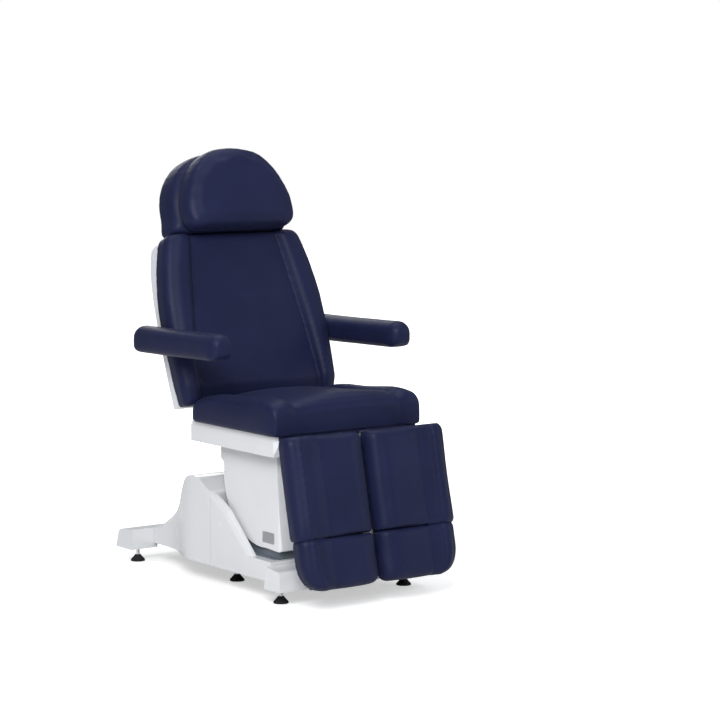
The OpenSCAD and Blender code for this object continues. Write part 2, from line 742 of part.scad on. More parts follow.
module tilt_actuator() {
    side_x = tilt_act_d + 4;
    color("#2b2d31") place() difference() {
        union() {
            rod_z(tilt_act_d, 0, tilt_act_y, tilt_act_z);
            rod_z(tilt_act_d + 16, 0, tilt_act_y, [carrier_top, tilt_act_z[1]]);
            slab([0, side_x], [tilt_act_y - tilt_act_d / 2, tilt_act_y + tilt_act_d / 2],
                [tilt_act_z[0], tilt_act_z[0] + tilt_act_d / 2]);
            rod_z(tilt_act_d - 4, side_x, tilt_act_y, [tilt_act_z[0], tilt_act_z[0] + 2 * tilt_act_d]);
        }
        rod_z(tilt_rod_d + 2 * run, 0, tilt_act_y, [tilt_rod_z - tube_step, tilt_act_z[1] + over]);
    }
}
module tilt_rod() {
    color("#c9ccd0") place() {
        rod_z(tilt_rod_d, 0, tilt_act_y, [tilt_rod_z, yoke_z[0]]);
        difference() {
            slab([-yoke_x, yoke_x], yoke_y, yoke_z);
            slab([-yoke_x - over, yoke_x + over], link_slot_y, [link_pin_z - link_slot_h / 2, link_pin_z + link_slot_h / 2]);
        }
    }
}
module tilt_link_pin() {
    x = yoke_x + lug_gap + lug_t + lug_gap;
    color("#c9ccd0") place() rod_x(link_pin_d, [-x, x], tilt_act_y, link_pin_z);
}

// Seat
leg_lug_x = [knuckle_w / 2 + 1, knuckle_w / 2 + 1 + lug_t];
module hinge_lugs(h) {
    r = hinge_knuckle_d / 2;
    for (s = [-1, 1]) {
        x = s > 0 ? [h + leg_lug_x[0], h + leg_lug_x[1]] : [h - leg_lug_x[1], h - leg_lug_x[0]];
        across(x, [[seat_rail_y[0], seat_tube_z[0]], [seat_rail_y[0], rail_top], [leg_hinge_y + r, rail_top],
            [leg_hinge_y, leg_hinge_z + r - 1], [leg_hinge_y - r / 3, leg_hinge_z - r + 1]]);
        rod_x(hinge_knuckle_d - 1, x, leg_hinge_y, leg_hinge_z);
    }
}
module seat_frame() {
    z = seat_tube_z;
    link_x = [yoke_x + lug_gap, yoke_x + lug_gap + lug_t];
    tilt_lug_x = [seat_rail_x[0], seat_rail_x[0] + lug_t];
    color("#3a3d42") place() difference() {
        union() {
            for (y = seat_cross_y) slab([-seat_rail_x[0], seat_rail_x[0]], y, z);
            both() {
                slab(seat_rail_x, seat_rail_y, z);
                slab([-seat_rail_x[1], hinge_x[1] + leg_lug_x[1]], seat_cross_y[0], z);
                for (h = hinge_x) hinge_lugs(h);
                across(tilt_lug_x, [[tilt_y - tilt_boss_d, z[0]], [tilt_y + tilt_boss_d / 2, z[0]],
                    [tilt_y + tilt_boss_d / 2, tilt_z], [tilt_y, tilt_z - tilt_boss_d / 2], [tilt_y - tilt_boss_d / 2, tilt_z]]);
                rod_x(tilt_boss_d, tilt_lug_x, tilt_y, tilt_z);
                across(link_x, [[tilt_act_y - link_pin_d, z[0]], [tilt_act_y + link_pin_d, z[0]],
                    [tilt_act_y + link_pin_d, link_pin_z - link_pin_d], [tilt_act_y - link_pin_d, link_pin_z - link_pin_d]]);
                slab([seat_rail_x[1], back_lug_x[1]], [back_foot_y[0], back_foot_y[1]], z);
                across(back_lug_x, [[back_foot_y[0], z[0]], [back_foot_y[1] + over, z[0]],
                    [pivot_y + back_neck, pivot_z - back_neck / 2], [pivot_y - back_neck, pivot_z + back_neck / 2],
                    [pivot_y - 1.5 * back_neck, pivot_z - back_neck], [back_foot_y[1] - over, z[1]],
                    [back_foot_y[0], z[1]]]);
                rod_x(back_lug_d - 4, back_lug_x, pivot_y, pivot_z);
            }
        }
        both() {
            for (h = hinge_x)
                rod_x(hinge_pin_d + 2 * run, [h - knuckle_w, h + knuckle_w], leg_hinge_y, leg_hinge_z);
            rod_x(tilt_pin_d + 2 * run, tilt_lug_x + [-over, over], tilt_y, tilt_z);
            rod_x(link_pin_d + 2 * run, link_x + [-over, over], tilt_act_y, link_pin_z);
            rod_x(shaft_d + 2 * run, back_lug_x + [-over, over], pivot_y, pivot_z);
        }
    }
}
module leg_hinge_pins() {
    color("#c9ccd0") place() both() for (h = hinge_x)
        rod_x(hinge_pin_d, [h - leg_lug_x[1] - 1, h + leg_lug_x[1] + 1], leg_hinge_y, leg_hinge_z);
}
module back_shaft() {
    x = back_lug_x[1] + 3;
    color("#c9ccd0") place() rod_x(shaft_d, [-x, x], pivot_y, pivot_z);
}
module seat_board() {
    color("#b08d5b") place() upright([seat_z - board_t, seat_z],
        round_box([-board_half, board_y[0]], [board_half, board_y[1]], corner_r));
}
function skirt_side(d) = let(y = skirt_y + [d, -d], top = seat_z + free(d), low = skirt_z - free(d))
    [[y[0], top], [y[1], top], [y[1], low], [y[0] + skirt_rake, low]];
function skirt_plan(d) = let(x = skirt_w / 2 - d, y = skirt_y[0] + d) [[-x, skirt_y[1] - d], [-x, y + skirt_bevel],
    [-x + skirt_bevel, y], [x - skirt_bevel, y], [x, y + skirt_bevel], [x, skirt_y[1] - d]];
module seat_skirt() {
    color("#dcdee2") place() difference() {
        intersection() {
            across([-skirt_w, skirt_w], skirt_side(0));
            upright([0, seat_z + over], skirt_plan(0));
        }
        intersection() {
            across([-skirt_w, skirt_w], skirt_side(skirt_t));
            upright([0, seat_z + 2 * over], skirt_plan(skirt_t));
        }
        slab([-skirt_gate, skirt_gate], [skirt_y[1] - skirt_rake, skirt_y[1] + over], [skirt_z - over, seat_z + over]);
        slab([-skirt_w, skirt_w], [skirt_y[1] - 2 * skirt_t, skirt_y[1] + over], [rail_top, seat_z + over]);
        both() for (h = hinge_x)
            slab([h - knuckle_w, h + knuckle_w], [skirt_y[0] - over, skirt_y[0] + skirt_bevel],
                [seat_tube_z[0] - skirt_t, seat_z + over]);
    }
}
module seat_cushion() {
    length = seat_front + seat_rear;
    seam = 0.7 * seat_w / 2;
    rings = [for (p = pad_places(length, end_r, edge_r + end_r, 9)) let(
        x = seat_w / 2 - p[1] * seat_corner_shares[p[0] > length / 2 ? 1 : 0], k = 1 - p[1] / (edge_r + end_r),
        top = blend(seat_t - seat_drop, seat_t, min(1, p[0] / length * 1.25)) - p[1] - seat_crown * k)
        [for (q = pad_section([-x, x], [0, top], [-seam, seam], seat_crown * k, seat_roll * k, seam_groove * k, edge_r))
            [q[0], seat_rear - p[0], seat_z + q[1]]]];
    color("#26294d") place() skin(rings);
}
module back_actuator() {
    motor_x = back_act_d - tube_step;
    color("#2b2d31") place() difference() {
        union() {
            rod_y(back_act_d, 0, back_act_y, back_rod_z);
            for (y = back_tab_y) slab([-back_tab_x, back_tab_x], y, [back_rod_z, rail_top]);
            rod_y(back_act_d, motor_x, [back_act_y[0], back_act_y[0] + 3 * back_act_d], back_rod_z);
            slab([0, motor_x], [back_act_y[0], back_act_y[0] + back_act_d],
                [back_rod_z - back_act_d / 2 + tube_step / 2, back_rod_z + back_act_d / 2 - tube_step / 2]);
        }
        rod_y(back_rod_d + 2 * run, 0, [back_act_y[0] + tube_step / 2, back_act_y[1] + over], back_rod_z);
    }
}
module back_rod() {
    x = lever_x[1] + lug_gap;
    color("#c9ccd0") place() {
        rod_y(back_rod_d, 0, [back_rod_y, back_pin_y], back_rod_z);
        rod_x(back_eye_d, [-back_eye_x, back_eye_x], back_pin_y, back_rod_z);
        rod_x(back_pin_d, [-x, x], back_pin_y, back_rod_z);
    }
}

// Backrest
back_pivot = to_back(pivot_y, pivot_z);
module lever() {
    translate([0, pivot_y, pivot_z]) rotate([lever_angle, 0, 0]) difference() {
        across(lever_x, [[-lever_half, 0], [lever_half, 0], [lever_half, lever_half - lever_r],
            [lever_half / 2, -lever_r], [-lever_half / 2, -lever_r], [-lever_half, lever_half - lever_r]]);
        for (r = lever_slot_r) rod_x(lever_slot_w, lever_x + [-over, over], 0, -r);
        slab(lever_x + [-over, over], [-lever_slot_w / 2, lever_slot_w / 2], [-lever_slot_r[1], -lever_slot_r[0]]);
    }
}
module post() {
    difference() {
        slab(post_x, post_y, post_z);
        slab(post_x + [frame_t, -frame_t], post_y + [frame_t, -frame_t], post_z + [-over, over]);
    }
}
module back_frame() {
    plate_x = [post_x[1], post_x[1] + lug_t];
    tongue_y = [post_y[1], post_y[1] + board_t / 2];
    knuckle_x = head_knuckle_x[1];
    color("#3a3d42") place() {
        difference() {
            union() {
                rod_x(pivot_tube_d, [-pivot_tube_x, pivot_tube_x], pivot_y, pivot_z);
                both() lever();
                on_back() both() {
                    across(plate_x, [back_pivot + [12, -12], back_pivot + [22, 9], [post_y[1], -28],
                        [post_y[1], post_z[0] + 2 * post_cross], [post_y[0] + 1, post_z[0] + 2 * post_cross],
                        [post_y[0] + 1, -4], back_pivot + [20, 30], back_pivot]);
                    rod_x(back_lug_d, plate_x, back_pivot[0], back_pivot[1]);
                }
            }
            rod_x(shaft_d + 2 * run, [-pivot_tube_x - over, pivot_tube_x + over], pivot_y, pivot_z);
        }
        on_back() difference() {
            union() {
                both() post();
                for (z = [post_z[0] + 3 * post_cross, post_z[1] - post_cross])
                    slab([-post_x[0], post_x[0]], post_y, [z, z + post_cross]);
                slab([-knuckle_x[1], knuckle_x[1]], tongue_y, [head_tongue_z[0], head_tongue_z[1] - head_knuckle_d / 2]);
                both() {
                    slab(knuckle_x, tongue_y, [head_tongue_z[0], head_axis_z]);
                    rod_x(head_knuckle_d, knuckle_x, head_axis_y, head_axis_z);
                }
                rod_x(arm_tube_d, [-arm_tube_x, arm_tube_x], arm_pivot_y, arm_pivot_z);
            }
            rod_x(head_pin_d + 2 * run, [-knuckle_x[1] - over, knuckle_x[1] + over], head_axis_y, head_axis_z);
            both() rod_x(arm_pin_d + 2 * run, [arm_shaft_in, arm_tube_x + over], arm_pivot_y, arm_pivot_z);
        }
    }
}
module head_pin() {
    x = head_knuckle_x[1][1] + lug_gap;
    color("#c9ccd0") place() on_back() rod_x(head_pin_d, [-x, x], head_axis_y, head_axis_z);
}
// Outline [x, z] of what follows the back cushion's edge, drawn in by d
function back_outline(d, z0, z1, n = 14) = concat(
    [for (i = [0:n]) let(z = blend(z0, z1, i / n)) [along(z, back_at, back_half) - d, z]],
    [for (i = [n:-1:0]) let(z = blend(z0, z1, i / n)) [d - along(z, back_at, back_half), z]]);
module back_board() {
    color("#b08d5b") place() on_back() lengthwise([0, board_t],
        back_outline(board_inset, shell_t + board_fit, shell_len - shell_t - board_fit));
}
module shell_block(d) {
    y = [-free(d), board_t + shell_depth - d];
    c = shell_chamfer;
    intersection() {
        lengthwise(y, back_outline(shell_inset + d, d, shell_len - d));
        across([-back_w, back_w], soft_path([[y[0], 0 + d, 0], [y[0], shell_len - d, 0],
            [y[1], shell_len - d, c], [y[1], d, c]]));
        upright([0, back_len], soft_path([[-back_w / 2, y[0], 0], [-back_w / 2, y[0] + c / 2, 0], [c - back_w / 2, y[1], c],
            [back_w / 2 - c, y[1], c], [back_w / 2, y[0] + c / 2, 0], [back_w / 2, y[0], 0]]));
    }
}
module back_shell() {
    gate = head_knuckle_x[1][1] + 6;
    color("#dcdee2") place() on_back() difference() {
        shell_block(0);
        shell_block(shell_t);
        slab([-gate, gate], [board_t - over, board_t + shell_depth - shell_t - over],
            [shell_len - 2 * shell_t, shell_len + over]);
        slab([-post_x[1] - lug_t - over, post_x[1] + lug_t + over], [board_t - over, post_y[1] + over], [-over, 2 * shell_t]);
        rod_x(arm_tube_d + tube_step, [-back_w, back_w], arm_pivot_y, arm_pivot_z);
    }
}
// Thickness of the back cushion at z, clipped upright where it meets the seat
function back_depth(z) = min(back_t, (back_y + z * sin(back_lean) - (seat_rear + 5)) / cos(back_lean));
module back_cushion() {
    rings = [for (p = pad_places(back_len, end_r / 2, end_r, 13)) let(
        x = along(p[0], back_at, back_half) - p[1] / 2, seam = min(along(p[0], back_at, back_seam), x - edge_r - 8),
        k = 1 - p[1] / end_r, top = back_depth(p[0]) - p[1] - back_roll * min(k, 1))
        [for (q = pad_section([-x, x], [0, top], [-seam, seam], back_crown * k, back_roll * k, 2 * seam_groove * k,
            min(edge_r, top / 2.2)))
            [q[0], -q[1], p[0]]]];
    color("#26294d") place() on_back() skin(rings, true);
}

// Headrest
function domed(z, length, straight) = z < straight * length ? 1
    : sqrt(1 - pow((z - straight * length) / (length * (1.05 - straight)), 2));
// Places along a domed pad: even in height at first, then even in turn over the dome
function dome_places(length, straight, n = 9) = concat(
    [for (a = [0, 30, 60]) [end_r * (1 - cos(a)), end_r * (1 - sin(a))]], [[end_r, 0]],
    [for (i = [0:n]) let(z = length * (straight + (1 - straight) * sin(90 * i / n)), d = length - z)
        [z, d < end_r ? end_r - sqrt(end_r * end_r - (end_r - d) * (end_r - d)) : 0]]);
module dome_pad(width, length, depth, y0, z0, straight, crown) {
    rings = [for (p = dome_places(length, straight)) let(
        x = width / 2 * domed(p[0], length, straight) - p[1], k = 1 - p[1] / (2 * end_r),
        top = depth - p[1] - crown * k, r = min(1.5 * edge_r, top / 2.1, x / 1.3))
        [for (q = crown_section([-x, x], [p[1] / 2, top], crown * k, r)) [q[0], y0 - q[1], z0 + p[0]]]];
    skin(rings, true);
}
module head_cushion() {
    color("#26294d") place() on_back()
        dome_pad(head_w, head_len, head_t, head_back, head_z, head_straight_share, head_crown);
}
module head_pillow() {
    color("#26294d") place() on_back()
        dome_pad(pillow_w, head_len, pillow_t, head_back - head_t - soft_gap, pillow_z, pillow_straight_share, pillow_crown);
}
module head_frame() {
    y = [head_back, head_back + board_t];
    z = [head_z + 3, head_z + head_len - 2 * end_r];
    knuckle_x = head_knuckle_x[0];
    color("#3a3d42") place() on_back() difference() {
        union() {
            lengthwise(y, soft_path([[-head_board_half, z[0], 12], [-head_board_half, z[1], head_board_half * 0.6],
                [head_board_half, z[1], head_board_half * 0.6], [head_board_half, z[0], 12]]));
            both() {
                rod_x(head_knuckle_d, knuckle_x, head_axis_y, head_axis_z);
                slab(knuckle_x, [y[1], head_axis_y], [head_axis_z, head_axis_z + 2 * head_knuckle_d]);
            }
        }
        rod_x(head_pin_d + 2 * run, [-knuckle_x[1] - over, knuckle_x[1] + over], head_axis_y, head_axis_z);
    }
}

// Armrests
module arm_core(side) {
    on_side(side) {
        rod_x(arm_pin_d, [arm_shaft_in + over, core_x[1]], arm_axle_y, arm_z);
        slab(core_x, [arm_back_y - arm_len + core_y[1], arm_axle_y + arm_pin_d], [arm_z - core_h / 2, arm_z + core_h / 2]);
    }
}
module arm_pad(side) {
    rings = [for (p = pad_places(arm_len, arm_round, arm_round, 4)) let(
        x = [arm_in + p[1] * 0.8, arm_in + arm_w - p[1] * 0.8], z = [p[1], arm_h - p[1]])
        [for (q = crown_section(x, z, 0, min(arm_round, (z[1] - z[0]) / 2.1)))
            [q[0], arm_back_y - p[0], arm_z - arm_h / 2 + q[1]]]];
    difference() {
        on_side(side) skin(rings);
        arm_core(side);
    }
}
module arm_core_left() { color("#3a3d42") place() arm_core(-1); }
module arm_core_right() { color("#3a3d42") place() arm_core(1); }
module arm_pad_left() { color("#26294d") place() arm_pad(-1); }
module arm_pad_right() { color("#26294d") place() arm_pad(1); }

// Leg rests
rail_mid = [leg_mid - rail_spread, leg_mid + rail_spread];
rail_front = -(leg_back - leg_board_t);
module leg_frame(side) {
    color("#3a3d42") place() on_side(side) on_leg() difference() {
        union() {
            for (h = hinge_x) {
                rod_x(hinge_knuckle_d, [h - knuckle_w / 2, h + knuckle_w / 2], 0, 0);
                slab([h - knuckle_w / 2, h + knuckle_w / 2], [rail_front, rail_y[1]], [-hinge_knuckle_d - over, 0]);
            }
            slab([hinge_x[0] - knuckle_w / 2, hinge_x[1] + knuckle_w / 2], rail_y, [-2 * hinge_knuckle_d, -hinge_knuckle_d]);
            for (x = rail_mid) slab([x - rail_half, x + rail_half], rail_y, [-rail_end, -hinge_knuckle_d]);
        }
        for (h = hinge_x) rod_x(hinge_pin_d + 2 * run, [h - knuckle_w, h + knuckle_w], 0, 0);
        for (x = rail_mid) slab([x - rail_half + rail_wall, x + rail_half - rail_wall],
            rail_y + [rail_wall, -rail_wall], [-rail_end - over, -2 * hinge_knuckle_d - rail_wall]);
    }
}
module tray(z) {
    x = [leg_in + leg_shell_inset, leg_in + leg_w - leg_shell_inset];
    t = leg_shell_t;
    difference() {
        slab(x, [-leg_back, leg_shell_y], z);
        slab(x + [t, -t], [rail_front, leg_shell_y - t], z + [-over, over]);
    }
}
module leg_shell(side) {
    color("#dcdee2") place() on_side(side) on_leg() difference() {
        tray([-leg_top - leg_len + 2, -leg_top - 2]);
        slab([leg_in, leg_in + leg_w], [rail_front, leg_shell_y + over], [-hinge_knuckle_d / 2 - 6, hinge_knuckle_d]);
    }
}
module leg_cushion(side) {
    rings = [for (p = pad_places(leg_len, end_r, end_r / 2, 6)) let(
        x = [leg_in + p[1] / 2, leg_in + leg_w - p[1] / 2], k = 1 - p[1] / end_r, top = leg_t - p[1])
        [for (q = pad_section(x, [0, top], [leg_in + leg_edge, leg_in + leg_w - leg_edge], leg_crown * k, leg_roll * k,
            seam_groove * k / 2, edge_r, true))
            [q[0], -leg_back - q[1], -leg_top - p[0]]]];
    color("#26294d") place() on_side(side) on_leg() skin(rings);
}
function corner_inset(d, r) = d > r ? 0 : r - sqrt(max(0, r * r - (r - d) * (r - d)));
module foot_slide(side) {
    z = [-foot_top - foot_len + 6, -foot_top - 2];
    color("#55585e") place() on_side(side) on_leg() {
        for (x = rail_mid) {
            slab([x - slide_half, x + slide_half], rail_y + [rail_wall + slide_clear, -rail_wall - slide_clear],
                [z[0] + 8, -slide_start]);
            slab([x - slide_half, x + slide_half], [rail_front - over / 4, -leg_back + leg_board_t + rail_wall + slide_clear],
                [z[0] + 8, z[1]]);
        }
        slab([leg_in + leg_shell_inset, leg_in + leg_w - foot_corner / 2], [-leg_back, rail_front - over / 4], z);
    }
}
module foot_cushion(side) {
    rings = [for (p = pad_places(foot_len, end_r / 2, end_r, 7)) let(d = foot_len - p[0],
        x = [leg_in + p[1] / 2 + corner_inset(d, foot_corner / 3) * 0.6,
            leg_in + leg_w - p[1] / 2 - corner_inset(d, foot_corner) * 0.8],
        k = 1 - p[1] / end_r, top = leg_t - p[1])
        [for (q = pad_section(x, [0, top], [leg_in + 60, min(x[1] - edge_r - 6, leg_in + leg_w - leg_edge)],
            leg_crown * k, leg_roll * k, seam_groove * k / 2, edge_r, true))
            [q[0], -leg_back - q[1], -foot_top - p[0]]]];
    color("#26294d") place() on_side(side) on_leg() skin(rings);
}
module leg_frame_left() { leg_frame(-1); }
module leg_frame_right() { leg_frame(1); }
module leg_shell_left() { leg_shell(-1); }
module leg_shell_right() { leg_shell(1); }
module leg_cushion_left() { leg_cushion(-1); }
module leg_cushion_right() { leg_cushion(1); }
module foot_slide_left() { foot_slide(-1); }
module foot_slide_right() { foot_slide(1); }
module foot_cushion_left() { foot_cushion(-1); }
module foot_cushion_right() { foot_cushion(1); }

front_crossbar();
rear_crossbar();
side_rails();
column_plate();
column_tube();
lower_glides();
lift_actuator();
control_box();
base_cover();
rear_cover();
front_beam_cover();
rear_beam_cover();
foot_pads();
foot_studs();
mains_inlet();
middle_tube();
upper_glides();
inner_cover();
inner_tube();
lift_rod();
seat_carrier();
column_cover();
tilt_pins();
tilt_actuator();
tilt_rod();
seat_frame();
seat_board();
seat_cushion();
seat_skirt();
tilt_link_pin();
back_shaft();
back_actuator();
leg_hinge_pins();
back_rod();
back_frame();
back_board();
back_cushion();
back_shell();
head_pin();
head_frame();
head_cushion();
head_pillow();
arm_core_left();
arm_pad_left();
arm_core_right();
arm_pad_right();
leg_frame_left();
leg_shell_left();
leg_cushion_left();
leg_frame_right();
leg_shell_right();
leg_cushion_right();
foot_slide_left();
foot_cushion_left();
foot_slide_right();
foot_cushion_right();
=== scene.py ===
import json
import math
import bpy
import numpy as np
from mathutils import Euler, Matrix, Vector, noise
from mathutils.bvhtree import BVHTree


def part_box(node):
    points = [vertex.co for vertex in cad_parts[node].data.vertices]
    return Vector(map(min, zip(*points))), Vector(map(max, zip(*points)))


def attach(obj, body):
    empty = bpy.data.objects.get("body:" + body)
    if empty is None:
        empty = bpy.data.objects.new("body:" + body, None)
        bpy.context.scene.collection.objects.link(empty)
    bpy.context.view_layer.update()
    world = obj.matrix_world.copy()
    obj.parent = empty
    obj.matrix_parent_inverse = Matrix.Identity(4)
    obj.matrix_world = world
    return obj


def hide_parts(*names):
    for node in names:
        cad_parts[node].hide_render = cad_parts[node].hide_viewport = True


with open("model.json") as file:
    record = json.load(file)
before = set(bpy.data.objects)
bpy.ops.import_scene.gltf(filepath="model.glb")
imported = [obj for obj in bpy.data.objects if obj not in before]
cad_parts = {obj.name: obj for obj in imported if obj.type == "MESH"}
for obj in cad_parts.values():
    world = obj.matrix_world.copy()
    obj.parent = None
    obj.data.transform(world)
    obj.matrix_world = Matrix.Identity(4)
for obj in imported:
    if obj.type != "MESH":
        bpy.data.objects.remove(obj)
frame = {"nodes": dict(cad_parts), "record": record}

scene = bpy.context.scene
nodes = frame["nodes"]
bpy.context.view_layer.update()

# Camera: place, turn and tilt in degrees, lens and sensor in mm
CAMERA_AT = (-4.76, -6.956, 1.69)
CAMERA_TURN = -36.2
CAMERA_TILT = 6.4
CAMERA_LENS = 125
CAMERA_SENSOR = 36
CAMERA_REACH = 60

# Y of the object's middle in the CAD source's frame; the frame used here has it at zero
MID_Y = 0.144066

# Back and leg rests: lean from upright, in degrees, and where their own frames of reference stand
BACK_LEAN = 18.7
LEG_LEAN = 12.5
BACK_AT = Vector((0, 0.320 - MID_Y, 0.586))
LEG_AT = Vector((0, -0.262 - MID_Y, 0.535))

NAVY = (0.0112, 0.0145, 0.049, 1)
WHITE = (0.74, 0.755, 0.775, 1)
SLATE = (0.155, 0.18, 0.215, 1)
DARK_PAINT = (0.045, 0.049, 0.056, 1)
TUBE_GREY = (0.42, 0.44, 0.46, 1)
CHROME = (0.68, 0.70, 0.72, 1)
IVORY = (0.72, 0.72, 0.66, 1)
MOTOR_BLACK = (0.025, 0.027, 0.031, 1)
BOX_GREY = (0.09, 0.098, 0.11, 1)
BLACK = (0.012, 0.012, 0.013, 1)
BIRCH = (0.45, 0.27, 0.11, 1)
FLOOR_PALE = (0.86, 0.86, 0.86, 1)
SKY = (0.93, 0.95, 1, 1)
PURE_WHITE = (1, 1, 1, 1)


# Materials
def add_node(mat, kind, **values):
    """A shader node, with each value set on the input or the attribute of that name."""
    node = mat.node_tree.nodes.new(kind)
    for key, value in values.items():
        if key in node.inputs:
            node.inputs[key].default_value = value
        else:
            setattr(node, key, value)
    return node


def link(mat, out, into):
    mat.node_tree.links.new(out, into)


def shader_of(mat):
    return mat.node_tree.nodes["Principled BSDF"]


def new_material(name, colour, roughness, **inputs):
    """A material with one shader, whose uniform values are set on the shader itself."""
    mat = bpy.data.materials.new(name)
    mat.use_nodes = True
    shader = shader_of(mat)
    shader.inputs["Base Color"].default_value = colour
    shader.inputs["Roughness"].default_value = roughness
    for key, value in inputs.items():
        shader.inputs[key.replace("_", " ")].default_value = value
    mat.diffuse_color = colour
    return mat


def place_of(mat, stretch=(1, 1, 1)):
    """The surface's place on the object, stretched along its axes."""
    where = add_node(mat, "ShaderNodeTexCoord")
    mapping = add_node(mat, "ShaderNodeMapping", Scale=stretch)
    link(mat, where.outputs["Object"], mapping.inputs["Vector"])
    return mapping.outputs["Vector"]


def noise_of(mat, place, scale, detail=3, roughness=0.5):
    node = add_node(mat, "ShaderNodeTexNoise", Scale=scale, Detail=detail, Roughness=roughness)
    link(mat, place, node.inputs["Vector"])
    return node.outputs["Fac"]


def ramp(mat, value, low, high, start=0.0, end=1.0):
    """Runs from low to high while the value runs from start to end."""
    node = add_node(mat, "ShaderNodeMapRange")
    link(mat, value, node.inputs["Value"])
    for key, number in zip(("From Min", "From Max", "To Min", "To Max"), (start, end, low, high)):
        node.inputs[key].default_value = number
    return node.outputs["Result"]


def tinted(colour, share):
    return tuple(c * share for c in colour[:3]) + (1,)


def tint(mat, fac, colour, low, high, start=0.3, end=0.7):
    """Base colour that runs from its low share to its high share with fac."""
    node = add_node(mat, "ShaderNodeValToRGB")
    for element, at, share in zip(node.color_ramp.elements, (start, end), (low, high)):
        element.position = at
        element.color = tinted(colour, share)
    link(mat, fac, node.inputs["Fac"])
    link(mat, node.outputs["Color"], shader_of(mat).inputs["Base Color"])


def bumps(mat, *layers):
    """Stacks bump layers: (height, distance in metres, strength)."""
    normal = None
    for height, distance, strength in layers:
        node = add_node(mat, "ShaderNodeBump", Distance=distance, Strength=strength)
        link(mat, height, node.inputs["Height"])
        if normal:
            link(mat, normal, node.inputs["Normal"])
        normal = node.outputs["Normal"]
    link(mat, normal, shader_of(mat).inputs["Normal"])


def roughen(mat, fac, low, high):
    link(mat, ramp(mat, fac, low, high), shader_of(mat).inputs["Roughness"])


def leatherette(name, colour):
    """Coated fabric: a pebbled grain over faint folds."""
    mat = new_material(name, colour, 0.46, Specular_IOR_Level=0.13, Sheen_Weight=0.01, Sheen_Roughness=0.5)
    place = place_of(mat)
    pebbles = add_node(mat, "ShaderNodeTexVoronoi", Scale=620, feature="SMOOTH_F1")
    link(mat, place, pebbles.inputs["Vector"])
    stains = noise_of(mat, place, scale=7, detail=4)
    grain = noise_of(mat, place, scale=1400, detail=2)
    folds = noise_of(mat, place, scale=38)
    tint(mat, stains, colour, 0.9, 1.12)
    roughen(mat, noise_of(mat, place, scale=60, detail=4), 0.40, 0.52)
    bumps(mat, (folds, 0.0008, 0.2), (pebbles.outputs["Distance"], 0.0002, 0.55), (grain, 0.0001, 0.4))
    return mat


def gloss_plastic(name, colour):
    """Moulded covers: a slow waviness under a clear coat."""
    mat = new_material(name, colour, 0.24, Specular_IOR_Level=0.5, Coat_Weight=0.35, Coat_Roughness=0.08)
    place = place_of(mat)
    ripple = noise_of(mat, place, scale=55, detail=2)
    grain = noise_of(mat, place, scale=700, detail=2)
    tint(mat, noise_of(mat, place, scale=3), colour, 0.97, 1.02)
    roughen(mat, noise_of(mat, place, scale=24, detail=4), 0.20, 0.30)
    bumps(mat, (ripple, 0.0004, 0.12), (grain, 0.00008, 0.15))
    return mat


def matte_plastic(name, colour, roughness=0.55):
    mat = new_material(name, colour, roughness, Specular_IOR_Level=0.45)
    place = place_of(mat)
    tint(mat, noise_of(mat, place, scale=9, detail=4), colour, 0.9, 1.1)
    roughen(mat, noise_of(mat, place, scale=40), roughness - 0.06, roughness + 0.08)
    bumps(mat, (noise_of(mat, place, scale=900, detail=2), 0.00015, 0.5))
    return mat


def painted_steel(name, colour):
    """Powder coat, a little worn along the edges."""
    mat = new_material(name, colour, 0.45, Metallic=0.0, Coat_Weight=0.15, Coat_Roughness=0.3)
    place = place_of(mat)
    edges = add_node(mat, "ShaderNodeNewGeometry").outputs["Pointiness"]
    tint(mat, edges, colour, 0.92, 1.6, start=0.50, end=0.62)
    roughen(mat, noise_of(mat, place, scale=30, detail=4), 0.38, 0.52)
    bumps(mat, (noise_of(mat, place, scale=420), 0.0002, 0.5))
    return mat


def steel(name, colour, roughness, brush=(1, 1, 1), strength=0.2):
    mat = new_material(name, colour, roughness, Metallic=1.0)
    place = place_of(mat, brush)
    tint(mat, noise_of(mat, place_of(mat), scale=12, detail=4), colour, 0.9, 1.05)
    roughen(mat, noise_of(mat, place, scale=90), roughness * 0.75, roughness * 1.3)
    bumps(mat, (noise_of(mat, place, scale=260, detail=2), 0.00006, strength))
    return mat


def rubber(name, colour):
    mat = new_material(name, colour, 0.72, Specular_IOR_Level=0.35)
    place = place_of(mat)
    tint(mat, noise_of(mat, place, scale=26, detail=5), colour, 0.8, 1.9)
    bumps(mat, (noise_of(mat, place, scale=500), 0.0003, 0.5))
    return mat


def plywood(name, colour):
    """Birch board, with its rings and fibres along X."""
    mat = new_material(name, colour, 0.62)
    rings = noise_of(mat, place_of(mat, (1, 9, 9)), scale=14, detail=6, roughness=0.6)
    fibres = noise_of(mat, place_of(mat, (1, 30, 30)), scale=60)
    tint(mat, rings, colour, 0.62, 1.15, start=0.35, end=0.65)
    bumps(mat, (fibres, 0.0003, 0.4))
    return mat


MATERIALS = {
    "upholstery": leatherette("upholstery", NAVY),
    "cover_plastic": gloss_plastic("cover_plastic", WHITE),
    "sleeve_plastic": matte_plastic("sleeve_plastic", SLATE, 0.4),
    "frame_steel": painted_steel("frame_steel", DARK_PAINT),
    "tube_steel": steel("tube_steel", TUBE_GREY, 0.34, (1, 1, 0.03), 0.3),
    "chrome_steel": steel("chrome_steel", CHROME, 0.12),
    "glide_plastic": matte_plastic("glide_plastic", IVORY),
    "motor_plastic": matte_plastic("motor_plastic", MOTOR_BLACK),
    "box_plastic": matte_plastic("box_plastic", BOX_GREY),
    "inlet_plastic": matte_plastic("inlet_plastic", BLACK, 0.4),
    "rubber": rubber("rubber", BLACK),
    "plywood": plywood("plywood", BIRCH),
}

